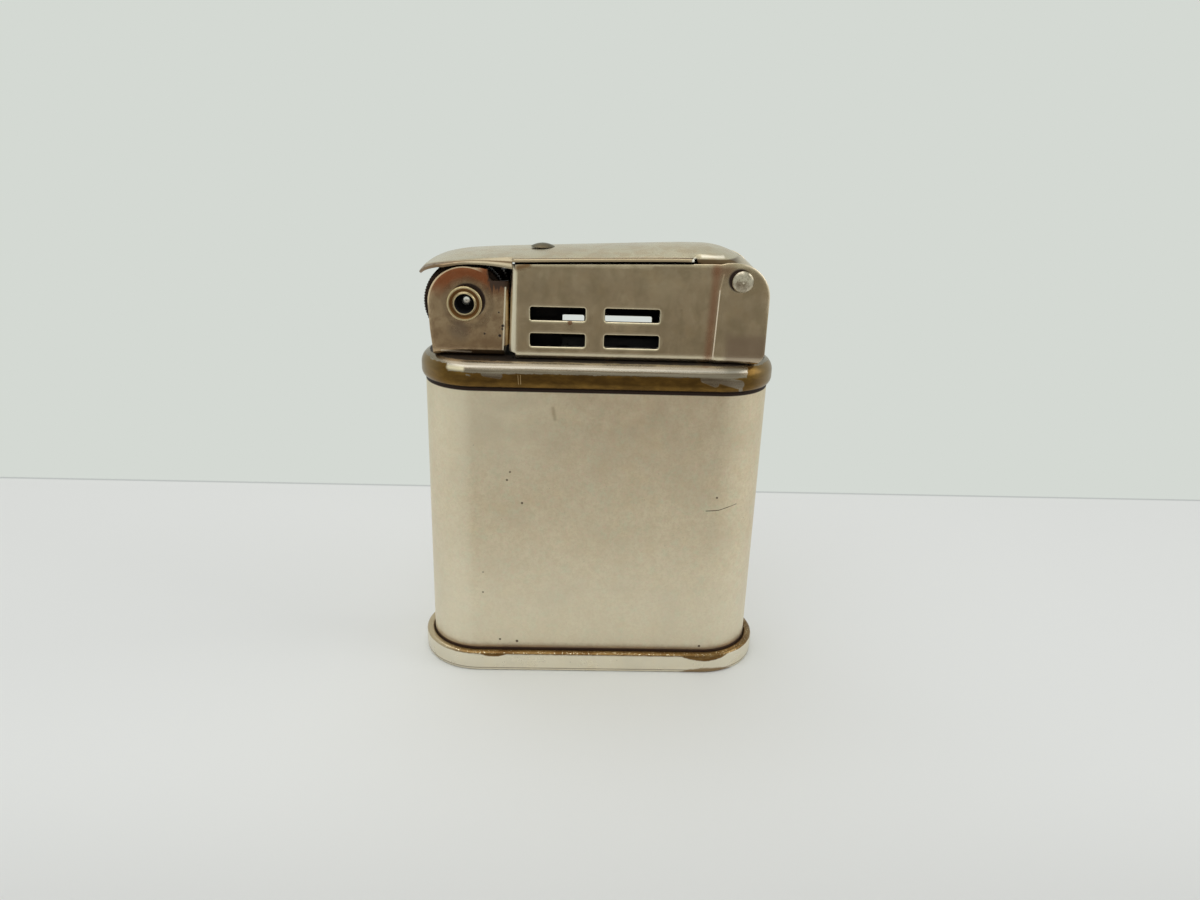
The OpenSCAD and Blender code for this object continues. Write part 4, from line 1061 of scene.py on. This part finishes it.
def build_pieces():
    # Black soot inside the lighter, which also stands in for the shade there.
    soot = soot_and_shade("soot_and_shade_inside")
    dark = steel_coat("dark_steel_wheel", (44, 36, 31), 0.6)
    spots = (0.4, 0.7, 4, 4, 0.6)
    flint = cloudy("flint_grey", (120, 116, 110), 0.6, 0.6, spots, (84, 80, 76), 0.01, 12).done()
    fibre = cloudy("fibre_washer", (150, 74, 52), 0.8, 0.0, spots, (118, 58, 44), 0.01, 15).done()
    spots = (0.35, 0.7, 0.6, 4, 0.6, 2)
    brass = cloudy("bare_brass", (196, 158, 92), 0.32, 1.0, spots, (150, 112, 58), 0.002, 9).done()
    dress(make_body(), "case", "satin_nickel", "body_shell", body_coat())
    for piece, node, *materials in (
        (make_tray(), "base_tray", tray_coat()),
        (make_collar(), "top_collar", collar_coat()),
        (make_windguard(), "windguard", guard_coat(), soot),
        (make_bracket(), "wheel_bracket", bracket_coat(), soot),
        (make_axle(), "wheel_axle", axle_coat()),
        (make_pin(), "lid_pin", small_nickel()),
    ):
        dress(piece, "case", "bright_nickel", node, *materials)
    dress(make_lid(), "lid", "bright_nickel", "lid", lid_coat(), soot_and_shade("soot_and_shade_under_lid"))
    dress(make_wick(), "case", "cotton", "wick", cotton_coat("wick_cotton", (214, 200, 170), wick_high[2]))
    for name in ("thumb_disc_front", "thumb_disc_rear"):
        dress(make_disc(name), "wheel", "dark_steel", name, dark)
    coat_nodes(dark, 0.04, "spark_wheel")
    coat_nodes(soot, 0.04, "bracket_rivets", "windguard_rivets", "snuffer_cap", "wick_tube")
    coat_nodes(steel_coat("rivet_steel", (104, 94, 72), 0.35), 0, "snuffer_rivet")
    coat_nodes(steel_coat("spring_leaf_steel", (190, 184, 176), 0.25, 0.2), 0.04, "lid_spring")
    coat_nodes(steel_coat("spring_wire_steel", (180, 174, 166), 0.3, 0.2), 0, "flint_spring")
    coat_nodes(brass, 0.05, "flint_tube", "flint_plunger", "flint_screw", "filler_bush", "filler_screw")
    coat_nodes(flint, 0.05, "flint")
    coat_nodes(fibre, 0.05, "filler_washer")
    coat_nodes(cotton_coat("wadding_cotton", (224, 216, 200)), 0.4, "tank_wadding")


# What the pieces show against: a pale floor that runs into a pale wall, and soft lamps
WALL = tone(212, 217, 211)
fold_y = 55.0
floor_size = 6000


def make_floor():
    corners = ((-1, -1, 0), (1, -1, 0), (1, 1, 0), (-1, 1, 0))
    floor = add_mesh("floor", floor_size * np.array(corners), [(0, 1, 2, 3)], False)
    coat = Coat("paper_floor", (236, 238, 235), 0.75, 0.0)
    y = coat.y
    # Darker towards the camera: painted fall-off of the lamps' light.
    coat.paint(y.step(-25, -78), (207, 208, 205))
    # A thin painted shade line along the fold.
    coat.paint(y.step(fold_y - 1.0, fold_y - 0.5) & y.step(fold_y + 0.1, fold_y - 0.1), (202, 206, 203))
    floor.data.materials.append(coat.done())
    beyond = y.step(fold_y - 0.1, fold_y + 0.1) | coat.distance(0, 0, 0).step(170, 430)
    glow = coat.make("ShaderNodeEmission", {}, Color=WALL, Strength=1.0)
    coat.put(coat.tree.nodes["Material Output"].inputs["Surface"], coat.mix_shader(beyond, coat.shader, glow))


def make_dark_side():
    """What stands behind the camera, seen only in the metal, whose upper parts it darkens."""
    corners = [(-44, -100, 0), (60, -100, 0), (60, -100, 46), (-44, -100, 46)]
    side = add_mesh("dark_side", corners, [(0, 1, 2, 3)], False)
    coat = Coat("dark_side", (0, 0, 0), 1.0, 0.0)
    coat.inputs["Emission Color"] = tone(146, 140, 130)
    coat.inputs["Emission Strength"] = 1.0
    side.data.materials.append(coat.done())
    side.visible_camera = side.visible_diffuse = side.visible_shadow = side.visible_transmission = False


def make_lamp(name, place, target, size, power):
    light = bpy.data.lights.new(name, "AREA")
    light.shape = "RECTANGLE"
    light.size, light.size_y = size[0] * MM, size[1] * MM
    light.energy = power
    lamp = bpy.data.objects.new(name, light)
    lamp.location = Vector(place) * MM
    lamp.rotation_euler = (Vector(target) - Vector(place)).to_track_quat("-Z", "Y").to_euler()
    bpy.context.scene.collection.objects.link(lamp)


def make_light():
    make_lamp("top_lamp", (-80, 0, 340), (0, 0, 20), (440, 310), 0.5)
    make_lamp("front_lamp", (-60, -260, 330), (0, 0, 30), (260, 60), 0.06)
    make_lamp("side_lamp", (380, -60, 260), (0, 0, 20), (260, 260), 0.35)
    world = bpy.data.worlds.new("pale_room")
    world.use_nodes = True
    world.node_tree.nodes.clear()
    room = Graph(world.node_tree)
    rays = room.make("ShaderNodeLightPath", {}).outputs
    seen = room.math("MAXIMUM", rays["Is Camera Ray"], rays["Is Glossy Ray"])
    seen = room.math("MAXIMUM", seen, rays["Is Transmission Ray"])
    light = room.make("ShaderNodeBackground", {}, Color=(1, 1, 1, 1), Strength=0.46)
    wall = room.make("ShaderNodeBackground", {}, Color=WALL)
    room.make("ShaderNodeOutputWorld", {}, Surface=room.mix_shader(seen, light, wall))
    bpy.context.scene.world = world


def make_camera():
    """The photograph's camera, from the object's outline in it."""
    view = bpy.data.cameras.new("camera")
    view.sensor_width, view.lens = 36, 27.41
    view.clip_start, view.clip_end = 0.001, 50
    camera = bpy.data.objects.new("camera", view)
    pitch, turn, roll = 0.359, 0.033, 0.032
    ahead = Vector((math.sin(turn) * math.cos(pitch), math.cos(turn) * math.cos(pitch), -math.sin(pitch)))
    flat = ahead.cross(Vector((0, 0, 1))).normalized()
    upright = flat.cross(ahead)
    right = flat * math.cos(roll) + upright * math.sin(roll)
    up = upright * math.cos(roll) - flat * math.sin(roll)
    camera.matrix_world = Matrix((
        (right.x, up.x, -ahead.x, -3.03 * MM),
        (right.y, up.y, -ahead.y, -111.81 * MM),
        (right.z, up.z, -ahead.z, 70.72 * MM),
        (0, 0, 0, 1),
    ))
    bpy.context.scene.collection.objects.link(camera)
    bpy.context.scene.camera = camera


build_pieces()
make_floor()
make_dark_side()
make_light()
make_camera()

bpy.context.scene.view_settings.view_transform = "Standard"
